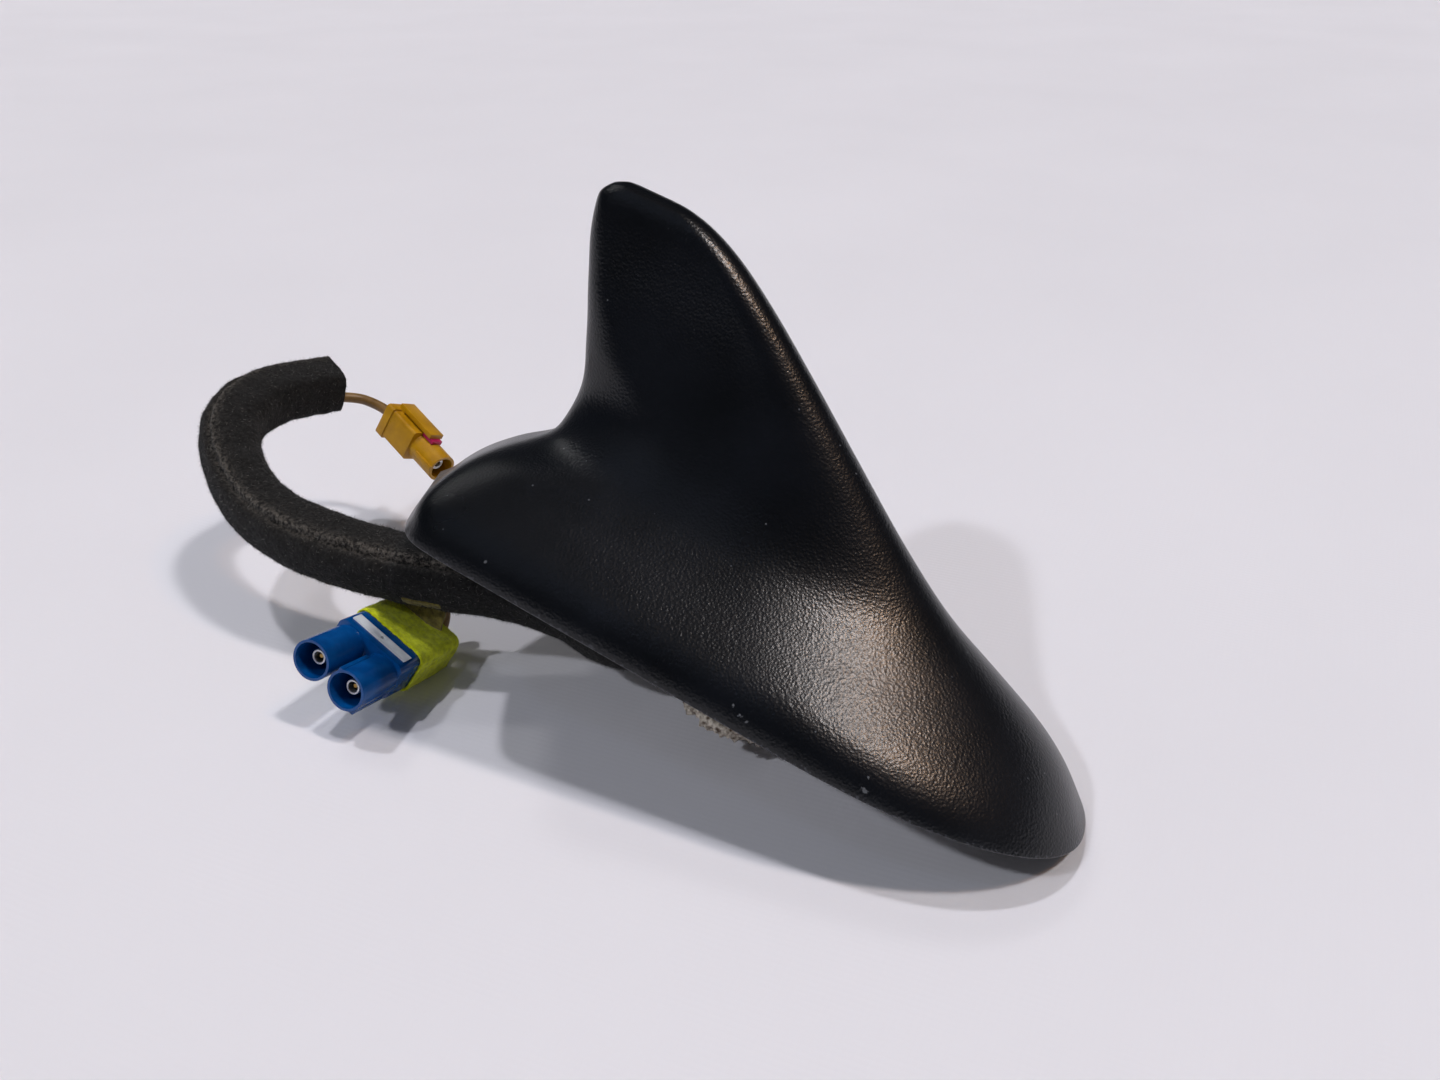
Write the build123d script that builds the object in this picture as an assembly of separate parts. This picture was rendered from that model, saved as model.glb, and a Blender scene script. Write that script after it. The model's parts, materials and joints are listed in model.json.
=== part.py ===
"""Shark fin roof aerial with its foam-wrapped leads and coded coaxial connectors.

Millimetres. The origin is on the fixing axis at the roof plane, +Z is up and +X points to the nose.
"""

import math
import os

from build123d import *

# Cover: reach ahead of and behind the fixing, overall width and height, wall and edge
NOSE_REACH = 74.0
TAIL_REACH = 84.0
COVER_WIDTH = 71.0
COVER_HEIGHT = 76.5
COVER_WALL = 2.4
EDGE_GAP = 0.4
CAVITY_TOP = 56.0
# Sections of the cover from the edge up to the tip: share of the height, then the leading and
# trailing ends as shares of the length behind the nose, half width as a share of the widest,
# length of the rounded nose as a share of the chord and how blunt it is, then the length of the
# rounded tail, how square its shoulders are, how blunt its end is, and the rake of its end
SECTIONS = (
    (0.000, 0.000, 1.000, 1.000, 0.36, 2.30, 0.20, 4.2, 3.6, 2.4),
    (0.039, 0.019, 0.979, 0.990, 0.37, 2.25, 0.20, 4.0, 3.4, 2.9),
    (0.092, 0.045, 0.962, 0.935, 0.39, 2.15, 0.16, 3.4, 3.6, 3.8),
    (0.157, 0.085, 0.936, 0.800, 0.42, 2.00, 0.14, 2.8, 3.6, 5.0),
    (0.235, 0.158, 0.894, 0.625, 0.45, 1.90, 0.14, 2.5, 3.4, 8.0),
    (0.327, 0.256, 0.845, 0.465, 0.47, 1.90, 0.28, 2.2, 2.8, 9.0),
    (0.444, 0.348, 0.832, 0.345, 0.48, 1.90, 0.48, 2.0, 2.0, 9.0),
    (0.588, 0.446, 0.850, 0.260, 0.48, 1.90, 0.50, 2.0, 1.6, 9.0),
    (0.745, 0.551, 0.876, 0.200, 0.48, 2.00, 0.50, 2.0, 1.7, 9.0),
    (0.863, 0.636, 0.894, 0.160, 0.48, 2.00, 0.50, 2.0, 1.8, 9.0),
    (0.941, 0.701, 0.898, 0.125, 0.48, 2.00, 0.50, 2.0, 1.9, 9.0),
    (0.980, 0.747, 0.885, 0.090, 0.48, 2.00, 0.50, 2.0, 2.0, 9.0),
    (0.994, 0.775, 0.871, 0.052, 0.48, 2.00, 0.50, 2.0, 2.0, 9.0),
    (1.000, 0.790, 0.862, 0.000, 0.48, 2.00, 0.50, 2.0, 2.0, 9.0),
)
RAKE_BLEND = 8.0
SKIN_ROWS = 24
SKIN_TURNS = 28
FINE_TURNS = 400
SKIN_CROWDING = 1.35
SKIN_TOLERANCE = 0.05
SKIN_RUNOUT = 0.03
HALVING_COUNT = 40

# Base: gasket on the roof, plate on the gasket, posts and board above it
GASKET_HEIGHT = 2.0
GASKET_BAND = 4.5
PLATE_THICK = 3.0
PLATE_GAP = 0.8
PLATE_RIB = 1.6
RIB_DROP = 1.0
POST_HEIGHT = 3.5
POST_RADIUS = 2.6
BOARD_THICK = 1.6
FIT_GAP = 0.05
HOLE_GAP = 0.3

# Fixing: boss with a threaded insert, and the collar round it that stands in the roof hole
THREAD_RADIUS = 3.0
THREAD_LENGTH = 10.0
INSERT_RADIUS = 4.5
BOSS_RADIUS = 8.5
BOSS_DEPTH = 12.0
COLLAR_RADIUS = 11.5
COLLAR_DEPTH = 13.5
COLLAR_BORE = 6.5

# Screws that draw the plate up into the cover, and those that hold the board
COVER_SCREW_STATIONS = (46.0, -8.0, -52.0)
COVER_SCREW_ROOM = 0.4
COVER_SCREW_RADIUS = 1.4
COVER_SCREW_HEAD_RADIUS = 2.5
COVER_SCREW_HEAD_HEIGHT = 1.5
COVER_SCREW_BITE = 3.2
COVER_BOSS_RADIUS = 3.0
COVER_BOSS_REACH = 30.0
BOARD_SCREW_MARGIN = 4.4
BOARD_SCREW_RADIUS = 1.0
BOARD_SCREW_HEAD_RADIUS = 1.9
BOARD_SCREW_HEAD_HEIGHT = 1.3
BOARD_SCREW_BITE = 3.0

# Board and what stands on it
BOARD_FRONT = 38.0
BOARD_BACK = -46.0
BOARD_ROOM = 0.3
BOARD_NOSE_STEP = 4.0
BOARD_NOSE_LENGTH = 14.0
PATCHES = ((24.0, 18.0), (-1.0, 25.0))
PATCH_HEIGHT = 4.0
PATCH_CORNER = 1.0
PATCH_ROOM = 0.3
FEED_RADIUS = 0.5
FEED_HEAD_RADIUS = 1.1
FEED_HEAD_HEIGHT = 0.5
CAN_SPOT = (-36.0, 0.0)
CAN_LENGTH = 15.0
CAN_ROOM = 0.4
CAN_SCREW_SET_BACK = 6.0
CAN_HEIGHT = 3.2
CAN_WALL = 0.4
CAN_CORNER = 1.0
CHIP_STATIONS = ((-20.0, 1), (-24.5, -1), (17.0, 1))
CHIP_MARGIN = 1.0
CHIP_SIDE = 5.0
CHIP_HEIGHT = 1.2
BLADE_THICK = 1.2
BLADE_FOOT_X = -20.5
BLADE_FOOT_LENGTH = 6.0
BLADE_TOP_CLEARANCE = 4.5
BLADE_LEAD_CLEARANCE = 9.0
BLADE_TRAIL_CLEARANCE = 6.0
BLADE_SHOULDER = 17.0
HOLDER_LENGTH = 11.0
HOLDER_WIDTH = 7.0
HOLDER_HEIGHT = 6.0
HOLDER_CORNER = 1.0

# Lead outlet behind the fixing
OUTLET_X = -24.0
OUTLET_RADIUS = 6.4
OUTLET_LIP_RADIUS = 8.0
OUTLET_LIP = 1.4
LEAD_RADIUS = 1.4
LEAD_RING = 2.4
LEAD_COUNT = 3

# Foam sleeve over the leads, laid back under the tail and round in an open loop
SLEEVE_RADIUS = 7.2
SLEEVE_ROUTE = (
    (OUTLET_X, 0.0, EDGE_GAP),
    (OUTLET_X, 0.0, -9.4),
    (-30.5, 3.3, -15.4),
    (-44.5, 6.0, -15.6),
    (-57.0, 2.8, -16.8),
    (-69.5, -2.0, -19.5),
    (-82.0, -5.6, -22.7),
    (-94.0, -7.3, -25.3),
    (-104.5, -7.6, -27.4),
    (-114.5, -6.8, -28.6),
    (-124.5, -4.6, -28.8),
    (-133.5, -1.2, -27.3),
    (-142.5, 3.6, -24.2),
    (-149.0, 10.6, -20.4),
    (-151.4, 20.0, -17.0),
    (-149.6, 31.2, -14.0),
    (-145.7, 42.0, -12.0),
)
ARC_SHARE = 0.45
TAIL_LEAD_DROP = 3.5
TAIL_LEAD_HIDDEN = 12.0
TAIL_LEAD_SHOWN = 5.0

# Single coded jack on the end of the sleeve: rear centre, and the way its nose and its latch point
JACK_REAR = (-127.9, 48.0, -14.6)
JACK_NOSE_WAY = (0.947, -0.279, -0.158)
JACK_LATCH_WAY = (0.167, 0.009, 0.986)
JACK_FLANGE = (9.6, 9.8, 2.8)
JACK_BODY = (8.7, 9.0, 10.2)
JACK_BODY_CORNER = 0.9
JACK_NOSE_RADIUS = 3.9
JACK_NOSE_LENGTH = 10.0
JACK_BORE_RADIUS = 3.1
JACK_BORE_DEPTH = 8.0
JACK_FRAME = (4.6, 5.6, 0.6)
JACK_FRAME_WALL = 0.8
JACK_KEY = (1.2, 1.0, 7.0)
JACK_LATCH = (4.4, 1.3, 14.5)
JACK_LATCH_GAP = 0.6
JACK_LATCH_BACK = 1.8
JACK_LATCH_ROOT = 2.5
JACK_LOCK = (3.4, 1.2, 4.5)
JACK_CONTACT_RADIUS = 1.6
JACK_CONTACT_BORE = 0.9
JACK_CONTACT_REACH = 6.0

# Twin coded plug: middle of its two mouths, the way they face, and the way from one to the other
PLUG_MOUTH = (-76.2, -32.2, -38.6)
PLUG_MOUTH_WAY = (0.0025, -0.9995, 0.0312)
PLUG_ROW_WAY = (0.9808, -0.0036, -0.1951)
PLUG_PITCH = 10.1
PLUG_SHROUD_RADIUS = 4.6
PLUG_SHROUD_BORE = 4.0
PLUG_SHROUD_LENGTH = 11.8
PLUG_BORE_DEPTH = 10.4
PLUG_BLOCK = (18.5, 10.1, 9.2)
PLUG_BLOCK_CORNER = 1.8
PLUG_REAR = (17.2, 8.8, 11.5)
PLUG_REAR_CORNER = 1.3
PLUG_RIB = (0.9, 1.0, 9.0)
PLUG_RIB_TURN = math.radians(45)
PLUG_KEY = (3.6, 1.3, 10.0)
PLUG_KEY_SINK = 0.2
PLUG_LOCK = (15.5, 1.8, 2.8)
PLUG_LOCK_BACK = 1.9
PLUG_LOCK_PROUD = 0.25
PLUG_LOCK_HOLE = 0.45
PLUG_CONTACT_RADIUS = 1.7
PLUG_CONTACT_BORE = 1.2
PLUG_CONTACT_SHORT = 2.5
PIN_RADIUS = 0.45
PIN_SHORT = 3.4
TAPE_THICK = 0.6
TAPE_OVERLAP = 2.2
TAPE_TAIL = 1.8
PLUG_LEAD_SPACING = 6.4
PLUG_LEAD_SET_IN = 4.0
LEAD_CLEAR = 5.0
LEAD_ENTRY = 11.0
TIE_WIDTH = 9.0
TIE_THICK = 0.8
TIE_RUN_COUNT = 5
TIE_TONGUE = (12.0, 0.8)
TIE_OPEN_WAY = (0.0, -0.6, 0.8)

PLATE_BOTTOM = GASKET_HEIGHT
PLATE_TOP = PLATE_BOTTOM + PLATE_THICK
BOARD_BOTTOM = PLATE_TOP + POST_HEIGHT
BOARD_TOP = BOARD_BOTTOM + BOARD_THICK
LENGTH = NOSE_REACH + TAIL_REACH
CAVITY_INSET = 1.1 * COVER_WALL


def law(column, share):
    """One column of SECTIONS at any share of the height, as a smooth curve with no overshoot."""
    shares = [row[0] for row in SECTIONS]
    values = [row[column] for row in SECTIONS]
    last = len(shares) - 1
    spans = [shares[k + 1] - shares[k] for k in range(last)]
    slopes = [(values[k + 1] - values[k]) / spans[k] for k in range(last)]

    def tangent(k):
        before = slopes[max(k - 1, 0)]
        after = slopes[min(k, last - 1)]
        if before * after <= 0:
            return 0.0
        return 2 * before * after / (before + after)

    k = max([i for i in range(last) if shares[i] <= share], default=0)
    t = (share - shares[k]) / spans[k]
    rise = t * t * (3 - 2 * t)
    leave = t * (1 - t) ** 2 * spans[k] * tangent(k)
    arrive = t * t * (t - 1) * spans[k] * tangent(k + 1)
    return values[k] + rise * (values[k + 1] - values[k]) + leave + arrive


def half_outline(share, inset):
    """Left half of the level section at a share of the height, from the nose to the tail, evenly spaced."""
    columns = [law(column, share) for column in range(1, 10)]
    lead, trail, width, nose, nose_power, tail, shoulder, tail_power, rake = columns
    front = NOSE_REACH - lead * LENGTH - inset
    back = NOSE_REACH - trail * LENGTH + inset
    half = max(width * COVER_WIDTH / 2 - inset, 0.0)
    chord = front - back
    fine = [(front, 0.0)]
    for k in range(1, FINE_TURNS):
        turn = math.pi * k / FINE_TURNS
        along = abs(math.cos(turn))
        across = math.sin(turn)
        if 2 * k <= FINE_TURNS:
            x = front - nose * chord * (1 - along ** (2 / max(nose_power, 2.0)))
            y = half * across ** (2 / nose_power)
        else:
            x = back + tail * chord * (1 - along ** (2 / shoulder))
            y = half * across ** (2 / tail_power)
            y *= (1 + (y / (rake * (x - back))) ** RAKE_BLEND) ** (-1 / RAKE_BLEND)
        fine.append((x, y))
    fine.append((back, 0.0))
    reach = [0.0]
    for before, after in zip(fine, fine[1:]):
        reach.append(reach[-1] + math.dist(before, after))
    points = [fine[0]]
    spot = 0
    for k in range(1, SKIN_TURNS):
        goal = reach[-1] * k / SKIN_TURNS
        while reach[spot + 1] < goal:
            spot += 1
        part = (goal - reach[spot]) / (reach[spot + 1] - reach[spot])
        (x0, y0), (x1, y1) = fine[spot], fine[spot + 1]
        points.append((x0 + part * (x1 - x0), y0 + part * (y1 - y0)))
    return points + [fine[-1]]


def skin_body(low, high, inset, drop):
    """Closed body under a smooth skin through the sections between two shares of the height."""
    grid = []
    for row in range(SKIN_ROWS + 1):
        share = low + (high - low) * (1 - (1 - row / SKIN_ROWS) ** SKIN_CROWDING)
        height = share * COVER_HEIGHT - drop
        grid.append([Vector(x, y, height) for x, y in half_outline(share, inset)])
    left = Face.make_surface_from_array_of_points(grid, tol=SKIN_TOLERANCE, min_deg=3, max_deg=3)
    right = left.mirror(Plane.XZ)
    halves = (left.edges().sort_by(Axis.Z), right.edges().sort_by(Axis.Z))
    floor = Face(Wire([edges[0] for edges in halves]))
    faces = [left, right, floor]
    if law(3, high) > 0:
        faces.append(Face(Wire([edges[-1] for edges in halves])))
    return Part() + Solid(Shell(faces))


def level_face(share, inset):
    """Level section of the cover as a face at z = 0."""
    left = half_outline(share, inset)
    right = [(x, -y) for x, y in reversed(left[1:-1])]
    return make_face(Spline(*left, *right, periodic=True))


def gap_to(outline, point):
    """Distance from a point to the nearest run of an outline."""
    gaps = []
    for (x0, y0), (x1, y1) in zip(outline, outline[1:]):
        run = (x1 - x0) ** 2 + (y1 - y0) ** 2
        share = ((point[0] - x0) * (x1 - x0) + (point[1] - y0) * (y1 - y0)) / run
        share = min(max(share, 0.0), 1.0)
        gaps.append(math.dist(point, (x0 + share * (x1 - x0), y0 + share * (y1 - y0))))
    return min(gaps)


def seat_y(outline, x, room):
    """Furthest distance from the middle plane at a station x that keeps a given room inside an outline."""
    low = 0.0
    high = max(y for _, y in outline)
    for (x0, y0), (x1, y1) in zip(outline, outline[1:]):
        if x1 <= x <= x0:
            high = y0 + (y1 - y0) * (x0 - x) / (x0 - x1)
    for _ in range(HALVING_COUNT):
        middle = (low + high) / 2
        if gap_to(outline, (x, middle)) >= room:
            low = middle
        else:
            high = middle
    return low


def board_half(x):
    """Half width of the board at a station x."""
    share = max(0.0, (x - BOARD_FRONT + BOARD_NOSE_LENGTH) / BOARD_NOSE_LENGTH)
    return BOARD_WIDTH / 2 - share * BOARD_NOSE_STEP


def inner_share(height):
    """Share of the height whose section, set in by CAVITY_INSET, is the cavity's wall at a height."""
    return (height + COVER_WALL) / COVER_HEIGHT


def rod(radius, low, high, x=0.0, y=0.0):
    """Upright round bar between two heights."""
    return Pos(x, y, low) * Cylinder(radius, high - low, align=(Align.CENTER, Align.CENTER, Align.MIN))


def block(size, corner, at=(0, 0, 0)):
    """Box with rounded upright edges, standing on its base."""
    return Pos(*at) * extrude(RectangleRounded(size[0], size[1], corner), size[2])


def brick(size, at):
    """Plain box standing on its base."""
    return Pos(*at) * Box(*size, align=(Align.CENTER, Align.CENTER, Align.MIN))


def mirrored(spots):
    """Each spot and its mirror image across the middle plane."""
    return [(x, side * y) for x, y in spots for side in (1, -1)]


def bend_radii(points):
    """Radius of the arc at each inner point: as large as the two runs beside it allow."""
    radii = []
    for before, here, after in zip(points, points[1:], points[2:]):
        first = Vector(here) - Vector(before)
        second = Vector(after) - Vector(here)
        half_turn = math.radians(first.get_angle(second)) / 2
        radii.append(ARC_SHARE * min(first.length, second.length) / math.tan(half_turn))
    return radii


def tube(points, radius):
    """Round tube along straight runs joined by tangent arcs."""
    path = FilletPolyline(*points, radius=bend_radii(points))
    start = Plane(origin=path @ 0, z_dir=path % 0)
    return sweep(start * Circle(radius), path=path), path


def facing(origin, way, row):
    """Plane at origin whose Z is the given way and whose X is the row direction squared to it."""
    z_way = Vector(way).normalized()
    row = Vector(row)
    x_way = (row - z_way * row.dot(z_way)).normalized()
    return Plane(origin=origin, x_dir=x_way, z_dir=z_way)


# Screws stand just inside the gasket, and the board just inside the middle screws' bosses
plate_inset = CAVITY_INSET + PLATE_GAP
plate_share = inner_share(PLATE_TOP)
gasket_edge = half_outline(plate_share, plate_inset + GASKET_BAND)
head_room = COVER_SCREW_HEAD_RADIUS + COVER_SCREW_ROOM
COVER_SCREW_SPOTS = [(x, seat_y(gasket_edge, x, head_room)) for x in COVER_SCREW_STATIONS]
BOARD_WIDTH = 2 * (COVER_SCREW_SPOTS[1][1] - COVER_BOSS_RADIUS - BOARD_ROOM)
front_patch_x, front_patch_side = PATCHES[0]
BOARD_SCREW_STATIONS = (
    front_patch_x + front_patch_side / 2 + BOARD_SCREW_HEAD_RADIUS + PATCH_ROOM,
    CAN_SPOT[0] - CAN_SCREW_SET_BACK,
)
BOARD_SCREW_SPOTS = [(x, board_half(x) - BOARD_SCREW_MARGIN) for x in BOARD_SCREW_STATIONS]
CAN_WIDTH = 2 * (BOARD_SCREW_SPOTS[1][1] - BOARD_SCREW_HEAD_RADIUS - CAN_ROOM)

# Moulded cover: smooth fin skin, hollow below, with screw bosses that end on the base plate
fin = skin_body(-SKIN_RUNOUT, 1.0, 0.0, 0.0)
cavity = skin_body(-SKIN_RUNOUT, inner_share(CAVITY_TOP), CAVITY_INSET, COVER_WALL)
shell = fin - cavity
for spot in mirrored(COVER_SCREW_SPOTS):
    boss = rod(COVER_BOSS_RADIUS, PLATE_TOP, PLATE_TOP + COVER_BOSS_REACH, *spot) & fin
    shell += boss
    shell -= rod(COVER_SCREW_RADIUS + FIT_GAP, PLATE_TOP - 1, PLATE_TOP + COVER_SCREW_BITE + HOLE_GAP, *spot)
runout = Box(2 * LENGTH, 2 * COVER_WIDTH, COVER_HEIGHT, align=(Align.CENTER, Align.CENTER, Align.MAX))
fin_cover = shell - Pos(0, 0, EDGE_GAP) * runout

# Rim gasket: flat rubber band on the roof, under the edge of the plate
rim_gasket = extrude(level_face(plate_share, plate_inset), GASKET_HEIGHT)
rim_gasket -= extrude(level_face(plate_share, plate_inset + GASKET_BAND), GASKET_HEIGHT)

# Die-cast base plate: hollow boss for the insert, board posts, stiffening rim and lead outlet
base_plate = Pos(0, 0, PLATE_BOTTOM) * extrude(level_face(plate_share, plate_inset), PLATE_THICK)
base_plate += rod(BOSS_RADIUS, -BOSS_DEPTH, PLATE_BOTTOM)
for spot in mirrored(BOARD_SCREW_SPOTS):
    base_plate += rod(POST_RADIUS, PLATE_TOP, BOARD_BOTTOM, *spot)
rib_front = BOARD_SCREW_SPOTS[0][0]
rib_length = rib_front - BOARD_SCREW_SPOTS[1][0]
for side in (1, -1):
    rib = Box(rib_length, PLATE_RIB, POST_HEIGHT - RIB_DROP, align=(Align.MAX, Align.CENTER, Align.MIN))
    base_plate += Pos(rib_front, side * (BOARD_WIDTH / 2 - PLATE_RIB), PLATE_TOP) * rib
hole_foot = BOARD_BOTTOM - BOARD_SCREW_BITE - HOLE_GAP
for spot in mirrored(BOARD_SCREW_SPOTS):
    base_plate -= rod(BOARD_SCREW_RADIUS + FIT_GAP, hole_foot, BOARD_BOTTOM, *spot)
for spot in mirrored(COVER_SCREW_SPOTS):
    base_plate -= rod(COVER_SCREW_RADIUS + HOLE_GAP, PLATE_BOTTOM, PLATE_TOP, *spot)
base_plate -= rod(INSERT_RADIUS + FIT_GAP, -BOSS_DEPTH, THREAD_LENGTH - BOSS_DEPTH)
base_plate -= rod(OUTLET_RADIUS + FIT_GAP, PLATE_BOTTOM, PLATE_TOP, OUTLET_X)

# Threaded insert pressed into the boss from below
thread_insert = rod(INSERT_RADIUS, -BOSS_DEPTH, THREAD_LENGTH - BOSS_DEPTH)
thread_insert -= rod(THREAD_RADIUS, -BOSS_DEPTH, THREAD_LENGTH - BOSS_DEPTH)

# Rubber collar round the boss, standing in the roof hole
hole_collar = rod(COLLAR_RADIUS, -COLLAR_DEPTH, PLATE_BOTTOM)
hole_collar -= rod(BOSS_RADIUS + FIT_GAP, -BOSS_DEPTH, PLATE_BOTTOM)
hole_collar -= rod(COLLAR_BORE, -COLLAR_DEPTH, -BOSS_DEPTH)

# Cover screws, heads under the plate
cover_screws = Part()
head_foot = PLATE_BOTTOM - COVER_SCREW_HEAD_HEIGHT
for spot in mirrored(COVER_SCREW_SPOTS):
    cover_screws += rod(COVER_SCREW_RADIUS, PLATE_BOTTOM, PLATE_TOP + COVER_SCREW_BITE, *spot)
    cover_screws += rod(COVER_SCREW_HEAD_RADIUS, head_foot, PLATE_BOTTOM, *spot)

# Circuit board with a narrower nose, and its screws
nose_x = BOARD_FRONT - BOARD_NOSE_LENGTH
board_outline = Polyline(
    (BOARD_BACK, BOARD_WIDTH / 2),
    (nose_x, BOARD_WIDTH / 2),
    (BOARD_FRONT, board_half(BOARD_FRONT)),
    (BOARD_FRONT, -board_half(BOARD_FRONT)),
    (nose_x, -BOARD_WIDTH / 2),
    (BOARD_BACK, -BOARD_WIDTH / 2),
    close=True,
)
main_board = Pos(0, 0, BOARD_BOTTOM) * extrude(make_face(board_outline), BOARD_THICK)
board_screws = Part()
for spot in mirrored(BOARD_SCREW_SPOTS):
    main_board -= rod(BOARD_SCREW_RADIUS + HOLE_GAP, BOARD_BOTTOM, BOARD_TOP, *spot)
    board_screws += rod(BOARD_SCREW_RADIUS, BOARD_BOTTOM - BOARD_SCREW_BITE, BOARD_TOP, *spot)
    board_screws += rod(BOARD_SCREW_HEAD_RADIUS, BOARD_TOP, BOARD_TOP + BOARD_SCREW_HEAD_HEIGHT, *spot)

# Ceramic patch aerials, each with a feed pin through it
patches = []
feed_pins = Part()
for x, side in PATCHES:
    patch = block((side, side, PATCH_HEIGHT), PATCH_CORNER, (x, 0, BOARD_TOP))
    patches.append(patch - rod(FEED_RADIUS + FIT_GAP, BOARD_TOP, BOARD_TOP + PATCH_HEIGHT, x))
    top = BOARD_TOP + PATCH_HEIGHT
    feed_pins += rod(FEED_RADIUS, BOARD_TOP, top, x)
    feed_pins += rod(FEED_HEAD_RADIUS, top, top + FEED_HEAD_HEIGHT, x)

# Screening can over the amplifier, and the bare chips beside it
shield_can = block((CAN_LENGTH, CAN_WIDTH, CAN_HEIGHT), CAN_CORNER, (*CAN_SPOT, BOARD_TOP))
can_room = (CAN_LENGTH - 2 * CAN_WALL, CAN_WIDTH - 2 * CAN_WALL, CAN_HEIGHT - CAN_WALL)
shield_can -= block(can_room, CAN_CORNER - CAN_WALL, (*CAN_SPOT, BOARD_TOP))
filter_chips = Part()
chip_y = (BOARD_WIDTH - CHIP_SIDE) / 2 - CHIP_MARGIN
for x, side in CHIP_STATIONS:
    y = side * chip_y
    filter_chips += brick((CHIP_SIDE, CHIP_SIDE, CHIP_HEIGHT), (x, y, BOARD_TOP))

# Upright telephone aerial blade in the fin, in a holder on the board
blade_top = CAVITY_TOP - BLADE_TOP_CLEARANCE


def cavity_ends(height):
    """Leading and trailing x of the cavity at a height."""
    share = inner_share(height)
    front = NOSE_REACH - law(1, share) * LENGTH - CAVITY_INSET
    back = NOSE_REACH - law(2, share) * LENGTH + CAVITY_INSET
    return front, back


low_front, low_back = cavity_ends(BOARD_TOP + BLADE_SHOULDER)
top_front, top_back = cavity_ends(blade_top)
foot_front = BLADE_FOOT_X + BLADE_FOOT_LENGTH / 2
foot_back = BLADE_FOOT_X - BLADE_FOOT_LENGTH / 2
shoulder = BOARD_TOP + BLADE_SHOULDER
blade_outline = Polyline(
    (foot_front, BOARD_TOP),
    (foot_front, shoulder),
    (low_front - BLADE_LEAD_CLEARANCE, shoulder),
    (top_front - BLADE_LEAD_CLEARANCE, blade_top),
    (top_back + BLADE_TRAIL_CLEARANCE, blade_top),
    (low_back + BLADE_TRAIL_CLEARANCE, shoulder),
    (foot_back, shoulder),
    (foot_back, BOARD_TOP),
    close=True,
)
phone_blade = extrude(Plane.XZ * make_face(blade_outline), BLADE_THICK / 2, both=True)
holder_size = (HOLDER_LENGTH, HOLDER_WIDTH, HOLDER_HEIGHT)
blade_holder = block(holder_size, HOLDER_CORNER, (BLADE_FOOT_X, 0, BOARD_TOP))
slot = Box(BLADE_FOOT_LENGTH + 2 * FIT_GAP, BLADE_THICK + 2 * FIT_GAP, 4 * HOLDER_HEIGHT)
blade_holder -= Pos(BLADE_FOOT_X, 0, BOARD_TOP) * slot

# Rubber outlet in the plate and the leads that run down through it from the board
lead_spots = []
for k in range(LEAD_COUNT):
    turn = 2 * math.pi * k / LEAD_COUNT
    lead_spots.append((OUTLET_X + LEAD_RING * math.cos(turn), LEAD_RING * math.sin(turn)))
lead_outlet = rod(OUTLET_RADIUS, EDGE_GAP, PLATE_TOP + OUTLET_LIP, OUTLET_X)
lead_outlet += rod(OUTLET_LIP_RADIUS, EDGE_GAP, PLATE_BOTTOM, OUTLET_X)
lead_outlet += rod(OUTLET_LIP_RADIUS, PLATE_TOP, PLATE_TOP + OUTLET_LIP, OUTLET_X)
board_leads = Part()
for spot in lead_spots:
    lead_outlet -= rod(LEAD_RADIUS + FIT_GAP, EDGE_GAP, PLATE_TOP + OUTLET_LIP, *spot)
    board_leads += rod(LEAD_RADIUS, EDGE_GAP, BOARD_BOTTOM, *spot)

# Foam sleeve, open at its far end where one lead comes out
foam_sleeve, sleeve_path = tube(SLEEVE_ROUTE, SLEEVE_RADIUS)
sleeve_end = Vector(SLEEVE_ROUTE[-1])
end_way = (sleeve_end - Vector(SLEEVE_ROUTE[-2])).normalized()
down_way = (Vector(0, 0, -1) + end_way * end_way.Z).normalized()
lead_exit = sleeve_end + down_way * TAIL_LEAD_DROP
jack_plane = facing(JACK_REAR, JACK_NOSE_WAY, JACK_LATCH_WAY)
tail_route = (
    lead_exit - end_way * TAIL_LEAD_HIDDEN,
    lead_exit + end_way * TAIL_LEAD_SHOWN,
    Vector(JACK_REAR) - jack_plane.z_dir * TAIL_LEAD_SHOWN,
    Vector(JACK_REAR),
)
tail_lead, tail_path = tube(tail_route, LEAD_RADIUS)
bore = Plane(origin=tail_route[0], z_dir=end_way) * Cylinder(
    LEAD_RADIUS + FIT_GAP, 2 * TAIL_LEAD_HIDDEN, align=(Align.CENTER, Align.CENTER, Align.MIN)
)
foam_sleeve -= bore

# Coded jack: flange and body, round nose, latch bridge, key and a framed window; X is the latch side
flange_end = JACK_FLANGE[2]
body_end = flange_end + JACK_BODY[2]
nose_end = body_end + JACK_NOSE_LENGTH
jack = block(JACK_FLANGE, JACK_BODY_CORNER)
jack += block(JACK_BODY, JACK_BODY_CORNER, (0, 0, flange_end))
jack += rod(JACK_NOSE_RADIUS, body_end, nose_end)
jack += brick(JACK_KEY, (0, JACK_NOSE_RADIUS, nose_end - JACK_KEY[2]))
frame_spot = (0, -JACK_BODY[1] / 2, flange_end + JACK_BODY[2] / 2)
frame_side = Plane(origin=frame_spot, x_dir=(1, 0, 0), z_dir=(0, -1, 0))
window = extrude(Rectangle(JACK_FRAME[0], JACK_FRAME[1]), JACK_FRAME[2])
window -= extrude(Rectangle(*[side - 2 * JACK_FRAME_WALL for side in JACK_FRAME[:2]]), JACK_FRAME[2])
jack += frame_side * window
latch_x = JACK_BODY[0] / 2 + JACK_LATCH_GAP + JACK_LATCH[1] / 2
jack += brick((JACK_LATCH[1], JACK_LATCH[0], JACK_LATCH[2]), (latch_x, 0, JACK_LATCH_BACK))
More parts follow.
